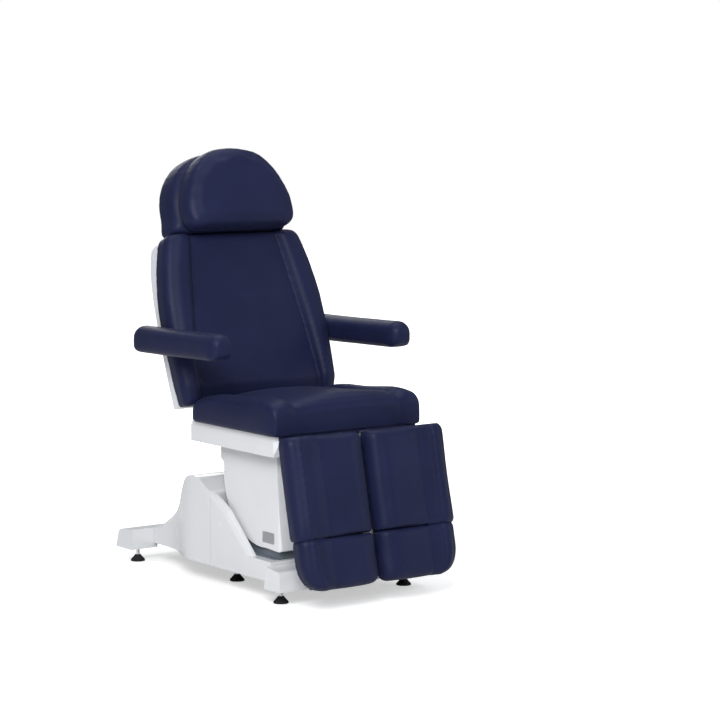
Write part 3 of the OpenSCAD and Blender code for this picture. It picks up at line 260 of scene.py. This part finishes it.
# Radius of the rounded edges of the moulded and turned pieces, and the least angle of an edge
EDGES = {"cover_plastic": 0.0014, "sleeve_plastic": 0.0006, "rubber": 0.0008}
EDGE_ANGLE = math.radians(32)


def paint(obj, slot):
    obj.data.materials.clear()
    obj.data.materials.append(MATERIALS[slot])


def smooth_node(obj, width):
    """Shades a CAD node smooth between its edges, and rounds those edges where a width is given."""
    obj.data.shade_smooth()
    obj.data.set_sharp_from_angle(angle=EDGE_ANGLE)
    if width:
        bevel = obj.modifiers.new("edges", "BEVEL")
        bevel.width = width
        bevel.segments = 2
        bevel.limit_method = "ANGLE"
        bevel.angle_limit = EDGE_ANGLE
        bevel.harden_normals = True


def dress_nodes():
    for part in frame["record"]["subparts"]:
        node = nodes[part["node"]]
        paint(node, part["material_slot"])
        smooth_node(node, EDGES.get(part["material_slot"], 0))


# Frames of reference: in the leaning ones Z runs up along the rest and Y goes to its back
def rigged(at, lean):
    """Matrix from a leaning rest's own frame of reference to the object's."""
    return Matrix.Translation(at) @ Euler((math.radians(-lean), 0, 0)).to_matrix().to_4x4()


BACK = rigged(BACK_AT, BACK_LEAN)
LEG = rigged(LEG_AT, LEG_LEAN)
FLAT = Matrix.Identity(4)


# Meshes: points are drawn in and pushed out again in turn where a pad is smoothed
RELAX_SHARES = (0.5, -0.52)


def new_object(name, mesh):
    obj = bpy.data.objects.new(name, mesh)
    scene.collection.objects.link(obj)
    return obj


def new_solid(name, points, faces):
    mesh = bpy.data.meshes.new(name)
    mesh.from_pydata(points, [], faces)
    return new_object(name, mesh)


def put_on(obj, slot, body):
    """Gives a visible piece its material and the body that it moves with."""
    paint(obj, slot)
    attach(obj, body)


def tube_faces(rings, around, first=0):
    """Faces of a closed tube: quads between its rings of points and a cap at each end."""
    faces = []
    for ring in range(rings - 1):
        low = first + ring * around
        for i in range(around):
            j = (i + 1) % around
            faces.append((low + i, low + j, low + around + j, low + around + i))
    last = first + (rings - 1) * around
    faces.append(tuple(range(first, first + around))[::-1])
    faces.append(tuple(range(last, last + around)))
    return faces


def turned(faces):
    return [face[::-1] for face in faces]


def applied(obj):
    """The object with its modifiers applied to its mesh, and the modifiers gone."""
    done = bpy.data.meshes.new_from_object(obj.evaluated_get(bpy.context.evaluated_depsgraph_get()))
    obj.modifiers.clear()
    old = obj.data
    obj.data = done
    bpy.data.meshes.remove(old)
    return obj


def remeshed(name, node, voxel):
    obj = new_object(name, nodes[node].data.copy())
    mod = obj.modifiers.new("remesh", "REMESH")
    mod.mode = "VOXEL"
    mod.voxel_size = voxel
    return applied(obj)


def subdivided(obj):
    mod = obj.modifiers.new("subdivision", "SUBSURF")
    mod.levels = 1
    mod.render_levels = 1
    return applied(obj)


def mirrored(obj, name):
    twin = new_object(name, obj.data.copy())
    twin.data.transform(Matrix.Scale(-1, 4, (1, 0, 0)))
    twin.data.flip_normals()
    return twin


def points_of(obj):
    points = np.empty(len(obj.data.vertices) * 3)
    obj.data.vertices.foreach_get("co", points)
    return points.reshape(-1, 3)


def set_points(obj, points):
    obj.data.vertices.foreach_set("co", points.ravel())
    obj.data.update()


def averaged(obj, values, times, shares=(0.5,)):
    """Values at the points, each drawn towards the mean of its neighbours' by the shares in turn."""
    ends = np.empty(len(obj.data.edges) * 2, dtype=np.int64)
    obj.data.edges.foreach_get("vertices", ends)
    ends = ends.reshape(-1, 2)
    a, b = ends[:, 0], ends[:, 1]
    size = len(values)
    count = np.bincount(ends.ravel(), minlength=size)[:, None]
    for share in shares * times:
        total = np.empty_like(values)
        for axis in range(values.shape[1]):
            total[:, axis] = np.bincount(a, values[b, axis], size) + np.bincount(b, values[a, axis], size)
        values = values + share * (total / count - values)
    return values


def relax(obj, times):
    """Smooths away the steps of the remesh and keeps the volume."""
    set_points(obj, averaged(obj, points_of(obj), times, RELAX_SHARES))


def moved(obj, to_world, where):
    """Moves each point to where(place), both in the frame of reference that to_world leads out of."""
    local = to_world.inverted()
    for v in obj.data.vertices:
        v.co = to_world @ where(local @ v.co)


def pressed(obj, height_at):
    """Moves each point along its normal by height_at(place)."""
    normals = [v.normal.copy() for v in obj.data.vertices]
    for v, normal in zip(obj.data.vertices, normals):
        v.co += normal * height_at(v.co)
    obj.data.update()


# Cloth run: its settings and length, how often its steps and its held points' rim are evened out
CLOTH = {
    "quality": 4,
    "mass": 0.25,
    "tension_stiffness": 18,
    "compression_stiffness": 18,
    "bending_stiffness": 0.6,
    "use_pressure": True,
    "uniform_pressure_force": 4,
    "vertex_group_mass": "held",
}
CLOTH_FRAMES = 20
EVEN_STEPS = 30
EVEN_RIM = 3
NO_LENGTH = 1e-9


def cloth_steps(obj, rest):
    """How far the cloth run carries each point."""
    cloth = obj.modifiers.new("cloth", "CLOTH")
    for key, value in CLOTH.items():
        setattr(cloth.settings, key, value)
    cloth.settings.effector_weights.gravity = 0
    cloth.collision_settings.use_collision = False
    for number in range(1, CLOTH_FRAMES + 1):
        scene.frame_set(number)
    swollen = obj.evaluated_get(bpy.context.evaluated_depsgraph_get())
    return points_of(swollen) - rest


def swell(obj, held_at, cap):
    """Blows the pad up as cloth under pressure.

    Held points stay, and the rest move softly and no further than cap.
    """
    rest = points_of(obj)
    group = obj.vertex_groups.new(name="held")
    free = np.ones((len(rest), 1))
    for i, p in enumerate(rest):
        held = held_at(Vector(p))
        if held > 0:
            group.add([i], held, "REPLACE")
            free[i] = 1 - held
    step = averaged(obj, cloth_steps(obj, rest), EVEN_STEPS) * np.minimum(1, averaged(obj, free, EVEN_RIM))
    far = np.linalg.norm(step, axis=1, keepdims=True)
    step *= np.minimum(1, cap / np.maximum(far, NO_LENGTH))
    obj.modifiers.clear()
    obj.vertex_groups.clear()
    set_points(obj, rest + step)
    scene.frame_set(1)


# Forms that the pads share
HELD = 1.0
SEAM_HELD = 0.9
FREE = 0.0
WAVES_PER_M = 7
WAVE_SIZE = 0.0008


def eased(t):
    t = min(1, max(0, t))
    return t * t * (3 - 2 * t)


def bell(distance, width):
    return math.exp(-(distance / width) ** 2)


def waves(p, per_m=WAVES_PER_M, size=WAVE_SIZE, seed=0.0):
    """A slow unevenness of the stuffing."""
    return size * noise.noise(Vector((p.x * per_m + seed, p.y * per_m - seed, p.z * per_m)))


def along(t, at, values):
    """The value at t on the line through the values that stand at the places at."""
    if t <= at[0]:
        return values[0]
    for a, b, va, vb in zip(at, at[1:], values, values[1:]):
        if t < b:
            return va + (vb - va) * (t - a) / (b - a)
    return values[-1]


# A bolster: depth and width of the crease at its seam, how far before the seam its rise starts,
# and over which width it rises
BOLSTER_CREASE = 0.0014
BOLSTER_CREASE_WIDE = 0.004
BOLSTER_START = 0.004
BOLSTER_RISE = 0.05


def bolster_form(away, height):
    """A faint crease at the seam, outside which the bolster rises in a broad curve."""
    crease = BOLSTER_CREASE * bell(away, BOLSTER_CREASE_WIDE)
    return height * eased((away + BOLSTER_START) / BOLSTER_RISE) - crease


# Seat cushion: its box, the held rim at its bottom and the strip held along a seam
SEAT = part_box("seat_cushion")
SEAT_HALF = SEAT[1][0]
SEAT_SEAM = 0.70 * SEAT_HALF
SEAT_LOW = SEAT[0][2]
SEAT_FRONT = SEAT[0][1]
SEAT_REAR = SEAT[1][1]
SEAT_RIM = 0.006
SEAT_PLAIN_RIM = 0.004
SEAT_SEAM_STRIP = 0.006
SEAT_SEAM_LOW = 0.03

# Valley of a seat seam, the crease in it and the roll outside it: depths or height, widths, and
# how far out the roll lies
VALLEY = 0.002
VALLEY_WIDE = 0.020
CREASE = 0.0009
CREASE_WIDE = 0.0035
ROLL = 0.7 * VALLEY
ROLL_AWAY = 0.036
ROLL_WIDE = 0.022

# Lift of the seat's rear: its height, where it is highest, its width, and where up the side it starts
LIFT = 0.009
LIFT_FROM_REAR = 0.12
LIFT_WIDE = 0.10
LIFT_START = 0.02
LIFT_RUN = 0.06


def seat_held(p):
    if p.z < SEAT_LOW + SEAT_RIM:
        return HELD
    on_seam = abs(abs(p.x) - SEAT_SEAM) < SEAT_SEAM_STRIP
    return SEAM_HELD if on_seam and p.z > SEAT_LOW + SEAT_SEAM_LOW else FREE


def seat_seams(p):
    """A broad soft valley with a faint crease at its bottom and a low roll on its outer side."""
    if p.z < SEAT_LOW + SEAT_PLAIN_RIM:
        return 0.0
    away = abs(p.x) - SEAT_SEAM
    valley = VALLEY * bell(away, VALLEY_WIDE) + CREASE * bell(away, CREASE_WIDE)
    return ROLL * bell(away - ROLL_AWAY, ROLL_WIDE) - valley + waves(p)


def seat_shape(p):
    """The cushion stands higher towards its rear, where the sitter's weight doesn't press it."""
    share = min(1, max(0, (p.z - SEAT_LOW - LIFT_START) / LIFT_RUN))
    lift = LIFT * bell(p.y - SEAT_REAR + LIFT_FROM_REAR, LIFT_WIDE)
    return Vector((p.x, p.y, p.z + lift * share))


def seat_limit(p):
    """Its front stays clear of the leg pads' upper ends."""
    return Vector((p.x, max(p.y, SEAT_FRONT), p.z))


# Back cushion: half width of its seams as shares over shares of its length
BACK_LENGTH = 0.585
BACK_SHARES = (0, 0.12, 0.28, 0.45, 0.62, 0.8, 0.93, 1)
BACK_SEAM_SHARES = (0.777, 0.768, 0.738, 0.70, 0.651, 0.602, 0.564, 0.544)
BACK_HALF = 0.318

# Depths in front of the board: held rim, plain rim, strip held along a seam and its start
BACK_RIM = 0.006
BACK_PLAIN_RIM = 0.004
SEAM_STRIP = 0.005
BACK_SEAM_FROM = 0.04

# Height of the bolsters at the bottom, what they lose up to the top, and the depth of their start and run
BACK_BOLSTER = 0.013
BACK_BOLSTER_LOSS = 0.007
BACK_BOLSTER_START = 0.005
BACK_BOLSTER_RUN = 0.085


def back_seam(z):
    return BACK_HALF * along(z / BACK_LENGTH, BACK_SHARES, BACK_SEAM_SHARES)


def back_held(p):
    if p.y > -BACK_RIM:
        return HELD
    on_seam = abs(abs(p.x) - back_seam(p.z)) < SEAM_STRIP
    return SEAM_HELD if on_seam and p.y < -BACK_SEAM_FROM else FREE


def back_seams(p):
    if p.y > -BACK_PLAIN_RIM:
        return 0.0
    height = BACK_BOLSTER - BACK_BOLSTER_LOSS * p.z / BACK_LENGTH
    height *= eased((-BACK_BOLSTER_START - p.y) / BACK_BOLSTER_RUN)
    return bolster_form(abs(p.x) - back_seam(p.z), height) + waves(p)


# Head cushions: the planes of their backs, their bottom, and the seed of their waves
HEAD_BACK = 0.020
PILLOW_BACK = -0.092
PILLOW_LOW = BACK_LENGTH
PLAIN_RIM = 0.006
PLAIN_SEED = 2.0

# Rear head cushion's bottom: where its spread starts, its run up, its share of the width and its drop
SPREAD_START = 0.008
SPREAD_RUN = 0.07
SPREAD_SHARE = 0.045
SPREAD_DROP = 0.005

# Pillow: share of its widening, its height and reach; shares drawn in at the bottom and at the back
# with their runs; how much deeper its front is, and over which depth
WIDEN_SHARE = 0.03
WIDEN_UP = 0.085
WIDEN_REACH = 0.05
LOW_SHARE = 0.05
LOW_RUN = 0.05
REAR_SHARE = 0.02
REAR_RUN = 0.05
DEEPER = 0.022
DEEPER_RUN = 0.06


def plain_held(back_y):
    """Holds a pad's back, which lies at back_y."""
    return lambda p: HELD if p.y > back_y - PLAIN_RIM else FREE


def plain_waves(p):
    return waves(p, seed=PLAIN_SEED)


def head_shape(p):
    """Its bottom corners reach out and down over the backrest."""
    low = 1 - eased((p.z - PILLOW_LOW - SPREAD_START) / SPREAD_RUN)
    return Vector((p.x * (1 + SPREAD_SHARE * low), p.y, p.z - SPREAD_DROP * low))


def pillow_shape(p):
    """Fuller in front, widest a third of the way up and drawn in at the bottom corners and the back."""
    up = p.z - PILLOW_LOW
    front = PILLOW_BACK - p.y
    wide = 1 + WIDEN_SHARE * bell(up - WIDEN_UP, WIDEN_REACH)
    wide -= LOW_SHARE * (1 - eased(up / LOW_RUN))
    wide -= REAR_SHARE * (1 - eased(front / REAR_RUN))
    return Vector((p.x * wide, p.y - DEEPER * eased(front / DEEPER_RUN), p.z))


# Armrests: their axle, and how much they rise for each metre towards the front
ARM_AXLE = 0.429 - MID_Y
ARM_RISE = 0.018


def arm_held(p):
    return FREE


def arm_shape(p):
    """The front end stands a little higher than the rear."""
    return Vector((p.x, p.y, p.z + ARM_RISE * max(0, ARM_AXLE - p.y)))


# Leg and foot pads, in the leg rest's frame: seam, middle, ends and back
LEG_SEAM = 0.195
LEG_MIDDLE = 0.16
LEG_TOP = 0.008
LEG_END = -0.322
LEG_BACK = -0.020
LEG_SEAM_FROM = 0.03
END_GAP = 0.0008

# Their bolsters' height, start and run; their waves
LEG_BOLSTER = 0.006
LEG_BOLSTER_START = 0.02
LEG_BOLSTER_RUN = 0.06
LEG_WAVES_PER_M = 8
LEG_WAVE_SIZE = 0.0006

# How much wider they are outside, how far they reach inwards at the back, and over which runs
LEG_WIDER = 0.010
FOOT_WIDER = 0.003
CLOSER = 0.006
SIDE_RUN = 0.12
CLOSER_FRONT = 0.090
CLOSER_RUN = 0.04


def leg_held(p):
    if p.y > LEG_BACK - BACK_RIM:
        return HELD
    on_seam = abs(p.x - LEG_SEAM) < SEAM_STRIP
    return SEAM_HELD if on_seam and p.y < LEG_BACK - LEG_SEAM_FROM else FREE


def leg_seams(p):
    if p.y > LEG_BACK - BACK_PLAIN_RIM:
        return 0.0
    height = LEG_BOLSTER * eased((-LEG_BOLSTER_START - p.y) / LEG_BOLSTER_RUN)
    return bolster_form(p.x - LEG_SEAM, height) + waves(p, LEG_WAVES_PER_M, LEG_WAVE_SIZE)


def spread(p, wider):
    """X of a point that is drawn out on its outer side and closes the middle gap from behind."""
    out = wider * eased((p.x - LEG_MIDDLE) / SIDE_RUN)
    closer = CLOSER * eased((LEG_MIDDLE - p.x) / SIDE_RUN) * eased((p.y + CLOSER_FRONT) / CLOSER_RUN)
    return p.x + out - closer


def leg_shape(p):
    return Vector((spread(p, LEG_WIDER), p.y, max(p.z, LEG_END)))


def leg_limit(p):
    """Its upper end stays clear of the seat pad when the leg is raised."""
    return Vector((p.x, p.y, min(p.z, LEG_TOP)))


def foot_shape(p):
    return Vector((spread(p, FOOT_WIDER), p.y, min(p.z, LEG_END - END_GAP)))


# Pads: size of the remesh, times that its steps are smoothed before and after the shaping, fill
COARSE = 0.007
FINE = 0.006
SMOOTH_FIRST = 8
SMOOTH_LAST = 2

# How far the cloth run may carry the points of each pad
CAPS = {"seat": 0.004, "back": 0.003, "head": 0.003, "pillow": 0.006, "arm": 0.002, "leg": 0.003}


def make_pad(name, node, voxel, to_world, cap, held, seams, shape=None, limit=None):
    """A pad from its solid: remeshed, blown up by cap at most, shaped, subdivided and seamed.

    In the pad's own frame, held(place) tells how firmly a point is held, shape(place) where it goes,
    and seams(place) how far it is pressed along its normal. limit(place) keeps it clear of the
    next pad.
    """
    local = to_world.inverted()
    obj = remeshed(name, node, voxel)
    relax(obj, SMOOTH_FIRST)
    swell(obj, lambda p: held(local @ p), cap)
    if shape:
        moved(obj, to_world, shape)
    subdivided(obj)
    relax(obj, SMOOTH_LAST)
    pressed(obj, lambda p: seams(local @ p))
    if limit:
        moved(obj, to_world, limit)
    return obj


def finish_pad(obj, body, node):
    obj.data.shade_smooth()
    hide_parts(node)
    put_on(obj, "upholstery", body)
    return obj


def make_pair(name, node, body, *form):
    """A right pad and its mirror image, where {} stands for the side in each name."""
    right = make_pad(name.format("right"), node.format("right"), *form)
    left = mirrored(right, name.format("left"))
    for side, obj in (("left", left), ("right", right)):
        finish_pad(obj, body.format(side), node.format(side))


def make_pads():
    seat = make_pad("seat_pad", "seat_cushion", COARSE, FLAT, CAPS["seat"],
                    seat_held, seat_seams, seat_shape, seat_limit)
    finish_pad(seat, "seat", "seat_cushion")
    back = make_pad("back_pad", "back_cushion", COARSE, BACK, CAPS["back"],
                    back_held, back_seams)
    finish_pad(back, "back", "back_cushion")
    head = make_pad("head_rear_pad", "head_cushion", COARSE, BACK, CAPS["head"],
                    plain_held(HEAD_BACK), plain_waves, head_shape)
    finish_pad(head, "head", "head_cushion")
    pillow = make_pad("head_front_pad", "head_pillow", FINE, BACK, CAPS["pillow"],
                      plain_held(PILLOW_BACK), plain_waves, pillow_shape)
    finish_pad(pillow, "head", "head_pillow")
    make_pair("arm_pad_{}_cover", "arm_pad_{}", "arm_{}", FINE, FLAT, CAPS["arm"],
              arm_held, plain_waves, arm_shape)
    make_pair("leg_pad_{}", "leg_cushion_{}", "leg_{}", FINE, LEG, CAPS["leg"],
              leg_held, leg_seams, leg_shape, leg_limit)
    make_pair("foot_pad_{}", "foot_cushion_{}", "foot_{}", FINE, LEG, CAPS["leg"],
              leg_held, leg_seams, foot_shape)
    sew_pads(seat, back)


# Stitches: length, half the thread's width, turns round the thread, points at most along a seam,
# way of the ray to the pad; depth of a stitch's ends and middle, and where its middle starts
STITCH = 0.006
THREAD = 0.0004
ROUND = [math.radians(60 * i) for i in range(6)]
SEAM_POINTS = 300
RAY_START = 0.2
STITCH_SUNK = 0.9
STITCH_PROUD = -0.7
STITCH_BEND = 0.2

# Where the stitched seams start and end short of their pads' ends, and the planes that their rays cross
SEAT_SEAM_START = 0.03
SEAT_SEAM_SHORT = 0.06
SEAT_RAY_Z = 0.7
BACK_SEAM_START = 0.03
BACK_SEAM_SHORT = 0.06
BACK_RAY_Y = -0.1
LEG_SEAM_START = -0.02
LEG_SEAM_LENGTH = 0.27
LEG_RAY_Y = -0.12
DOWN = Vector((0, 0, -1))
REARWARD = Vector((0, 1, 0))


def seam_steps(length):
    steps = [STITCH / 2 * i for i in range(SEAM_POINTS)]
    return [t for t in steps if t < length]


def stitch(a, b, into):
    """Rings of points of one stitch that dips into the pad at both ends."""
    side = (b - a).normalized().cross(into).normalized() * THREAD
    up = into * THREAD
    bends = (a.lerp(b, STITCH_BEND), a.lerp(b, 1 - STITCH_BEND))
    rings = ((a, STITCH_SUNK), (bends[0], STITCH_PROUD), (bends[1], STITCH_PROUD), (b, STITCH_SUNK))
    return [at + up * lift + side * math.cos(t) + up * math.sin(t) for at, lift in rings for t in ROUND]


def sew(name, pad, body, to_world, path, towards):
    """A row of stitches in a pad's seam: path is the seam in the pad's own frame, towards the way in."""
    tree = BVHTree.FromObject(pad, bpy.context.evaluated_depsgraph_get())
    into = (to_world.to_3x3() @ towards).normalized()
    hits = [tree.ray_cast(to_world @ p - into * RAY_START, into)[0] for p in path]
    found = [hit for hit in hits if hit is not None]
    points, faces = [], []
    for a, b in zip(found[::3], found[2::3]):
        if (b - a).length <= STITCH * 2:
            rings = stitch(a, b, into)
            faces += tube_faces(len(rings) // len(ROUND), len(ROUND), len(points))
            points += rings
    row = new_solid(name, points, faces)
    row.data.shade_smooth()
    put_on(row, "upholstery", body)


def sew_pads(seat, back):
    seat_length = SEAT_REAR - SEAT_SEAM_SHORT - SEAT_FRONT
    for side, sign in (("left", -1), ("right", 1)):
        path = [Vector((sign * SEAT_SEAM, SEAT_FRONT + SEAT_SEAM_START + t, SEAT_RAY_Z))
                for t in seam_steps(seat_length)]
        sew("seat_stitches_" + side, seat, "seat", FLAT, path, DOWN)
        path = [Vector((sign * back_seam(BACK_SEAM_START + t), BACK_RAY_Y, BACK_SEAM_START + t))
                for t in seam_steps(BACK_LENGTH - BACK_SEAM_SHORT)]
        sew("back_stitches_" + side, back, "back", BACK, path, REARWARD)
        path = [Vector((sign * LEG_SEAM, LEG_RAY_Y, LEG_SEAM_START - t))
                for t in seam_steps(LEG_SEAM_LENGTH)]
        pad = bpy.data.objects["leg_pad_" + side]
        sew("leg_stitches_" + side, pad, "leg_" + side, LEG, path, REARWARD)


# Rating plate: width and height, corner radius, thickness, its place on the column cover's side,
# steps round a corner; depths of its rings as shares of the thickness, with their shares of its size
PLATE_SIZE = (0.068, 0.036)
PLATE_CORNER = 0.003
PLATE_THICK = 0.0012
PLATE_Y = -0.122 - MID_Y
PLATE_Z = 0.199
PLATE_CORNER_STEPS = 4
PLATE_RINGS = ((0, 1.0), (0.6, 1.0), (1, 0.985), (1, 0.94), (0.8, 0.93))
COVER_BODY = "lift_top"

# Lip behind the gap between leg and foot pad: its reach in X, steps, and outline in Y and Z
LIP_REACH = (0.020, 0.290)
LIP_STEPS = 24
LIP_OUTLINE = ((-0.0197, -0.3206), (-0.0197, -0.3244), (-0.0165, -0.3247), (-0.0135, -0.3244),
               (-0.0135, -0.3206), (-0.0165, -0.3203))

# Band that wraps the seat board's front: its plane, inset from the cushion's side, top, drop,
# steps, and a slight waviness with its waves in radians per metre
WRAP_Y = -0.2415 - MID_Y
WRAP_INSET = 0.024
WRAP_TOP = SEAT_LOW + 0.0015
WRAP_LOW = SEAT_LOW - 0.0105
WRAP_STEPS = 56
WRAP_WAVE = 0.0003
WRAP_WAVES = 160
WRAP_OUTLINE = ((0, WRAP_TOP), (0, WRAP_LOW), (-0.0010, WRAP_LOW - 0.0005),
                (-0.0022, WRAP_LOW + 0.0005), (-0.0026, WRAP_TOP))


def corner_points(size, radius):
    """Outline of a centred rectangle with rounded corners."""
    outline = []
    for k, (side_y, side_z) in enumerate(((1, 1), (-1, 1), (-1, -1), (1, -1))):
        for i in range(PLATE_CORNER_STEPS + 1):
            t = math.radians(90 * (k + i / PLATE_CORNER_STEPS))
            outline.append((side_y * (size[0] / 2 - radius) + radius * math.cos(t),
                            side_z * (size[1] / 2 - radius) + radius * math.sin(t)))
    return outline


def make_plate():
    """A thin plate with rounded corners and a fine lip, on the left side of the column cover."""
    outline = corner_points(PLATE_SIZE, PLATE_CORNER)
    points = [(-PLATE_THICK * depth, y * share, z * share)
              for depth, share in PLATE_RINGS for y, z in outline]
    plate = new_solid("rating_plate", points, tube_faces(len(PLATE_RINGS), len(outline)))
    cover_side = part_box("column_cover")[0][0]
    plate.data.transform(Matrix.Translation((cover_side, PLATE_Y, PLATE_Z)))
    put_on(plate, "tube_steel", COVER_BODY)


def make_lip(side, sign):
    start, end = LIP_REACH
    across = [start + (end - start) * i / LIP_STEPS for i in range(LIP_STEPS + 1)]
    points = [LEG @ Vector((sign * x, y, z)) for x in across for y, z in LIP_OUTLINE]
    faces = tube_faces(LIP_STEPS + 1, len(LIP_OUTLINE))
    lip = new_solid("foot_lip_" + side, points, faces if sign < 0 else turned(faces))
    lip.data.shade_smooth()
    put_on(lip, "upholstery", "foot_" + side)


def make_wrap():
    half = SEAT_HALF - WRAP_INSET
    across = [-half + 2 * half * i / WRAP_STEPS for i in range(WRAP_STEPS + 1)]
    points = [(x, WRAP_Y + y + WRAP_WAVE * math.sin(x * WRAP_WAVES), z)
              for x in across for y, z in WRAP_OUTLINE]
    wrap = new_solid("seat_front_wrap", points, turned(tube_faces(WRAP_STEPS + 1, len(WRAP_OUTLINE))))
    wrap.data.shade_smooth()
    put_on(wrap, "upholstery", "seat")


def make_trim():
    make_plate()
    for side, sign in (("left", -1), ("right", 1)):
        make_lip(side, sign)
    make_wrap()


# Studio: the sky's strength, the floor's half width, the lamps' aim, and for each lamp its place,
# size and power
SKY_STRENGTH = 0.28
FLOOR_REACH = 14
AIM = Vector((0, 0, 0.7))
LAMPS = {
    "key": ((-3.2, -3.4, 3.4), (2.4, 2.4), 235),
    "fill": ((3.6, -3.2, 1.9), (2.6, 2.6), 26),
    "top": ((0.3, 0.4, 4.2), (3.0, 3.0), 62),
    "rear": ((1.5, 4.0, 2.4), (2.4, 2.0), 40),
}


def make_camera():
    cam = bpy.data.cameras.new("camera")
    cam.lens = CAMERA_LENS
    cam.sensor_width = CAMERA_SENSOR
    cam.clip_end = CAMERA_REACH
    view = new_object("camera", cam)
    view.location = CAMERA_AT
    view.rotation_euler = (math.radians(90 - CAMERA_TILT), 0, math.radians(CAMERA_TURN))
    scene.camera = view
    scene.view_settings.view_transform = "Standard"


def make_world():
    """A soft pale sky for the light, and plain white where the camera or a transmitted ray sees it."""
    world = bpy.data.worlds.new("studio")
    world.use_nodes = True
    sky = world.node_tree.nodes["Background"]
    sky.inputs["Color"].default_value = SKY
    sky.inputs["Strength"].default_value = SKY_STRENGTH
    shown = add_node(world, "ShaderNodeBackground", Color=PURE_WHITE, Strength=1)
    paths = add_node(world, "ShaderNodeLightPath")
    either = add_node(world, "ShaderNodeMath", operation="MAXIMUM")
    link(world, paths.outputs["Is Camera Ray"], either.inputs[0])
    link(world, paths.outputs["Is Transmission Ray"], either.inputs[1])
    mix = add_node(world, "ShaderNodeMixShader")
    link(world, either.outputs[0], mix.inputs["Fac"])
    link(world, sky.outputs[0], mix.inputs[1])
    link(world, shown.outputs[0], mix.inputs[2])
    link(world, mix.outputs[0], world.node_tree.nodes["World Output"].inputs["Surface"])
    scene.world = world


def floor_material():
    """Pale floor that fades to white away from the object, in the camera's eyes only."""
    mat = new_material("floor", FLOOR_PALE, 0.9, Specular_IOR_Level=0.1)
    glow = add_node(mat, "ShaderNodeEmission")
    seen = add_node(mat, "ShaderNodeLightPath")
    where = add_node(mat, "ShaderNodeTexCoord")
    away = add_node(mat, "ShaderNodeVectorMath", operation="LENGTH")
    link(mat, where.outputs["Object"], away.inputs[0])
    fade = ramp(mat, away.outputs["Value"], low=0.5, high=1.2, start=0.9, end=4)
    scale = add_node(mat, "ShaderNodeMath", operation="MULTIPLY")
    link(mat, seen.outputs["Is Camera Ray"], scale.inputs[0])
    link(mat, fade, scale.inputs[1])
    link(mat, scale.outputs[0], glow.inputs["Strength"])
    both = add_node(mat, "ShaderNodeAddShader")
    link(mat, shader_of(mat).outputs[0], both.inputs[0])
    link(mat, glow.outputs[0], both.inputs[1])
    link(mat, both.outputs[0], mat.node_tree.nodes["Material Output"].inputs["Surface"])
    return mat


def make_floor():
    corners = [(x * FLOOR_REACH, y * FLOOR_REACH, 0) for x, y in ((-1, -1), (1, -1), (1, 1), (-1, 1))]
    floor = new_solid("floor", corners, [(0, 1, 2, 3)])
    floor.data.materials.append(floor_material())


def make_lamp(name, at, size, power):
    data = bpy.data.lights.new(name, "AREA")
    data.shape = "RECTANGLE"
    data.size, data.size_y = size
    data.energy = power
    lamp = new_object(name, data)
    lamp.location = at
    lamp.rotation_euler = (AIM - Vector(at)).to_track_quat("-Z", "Y").to_euler()


make_camera()
make_world()
make_floor()
for lamp_name, (lamp_at, lamp_size, lamp_power) in LAMPS.items():
    make_lamp(lamp_name, lamp_at, lamp_size, lamp_power)
dress_nodes()
make_pads()
make_trim()
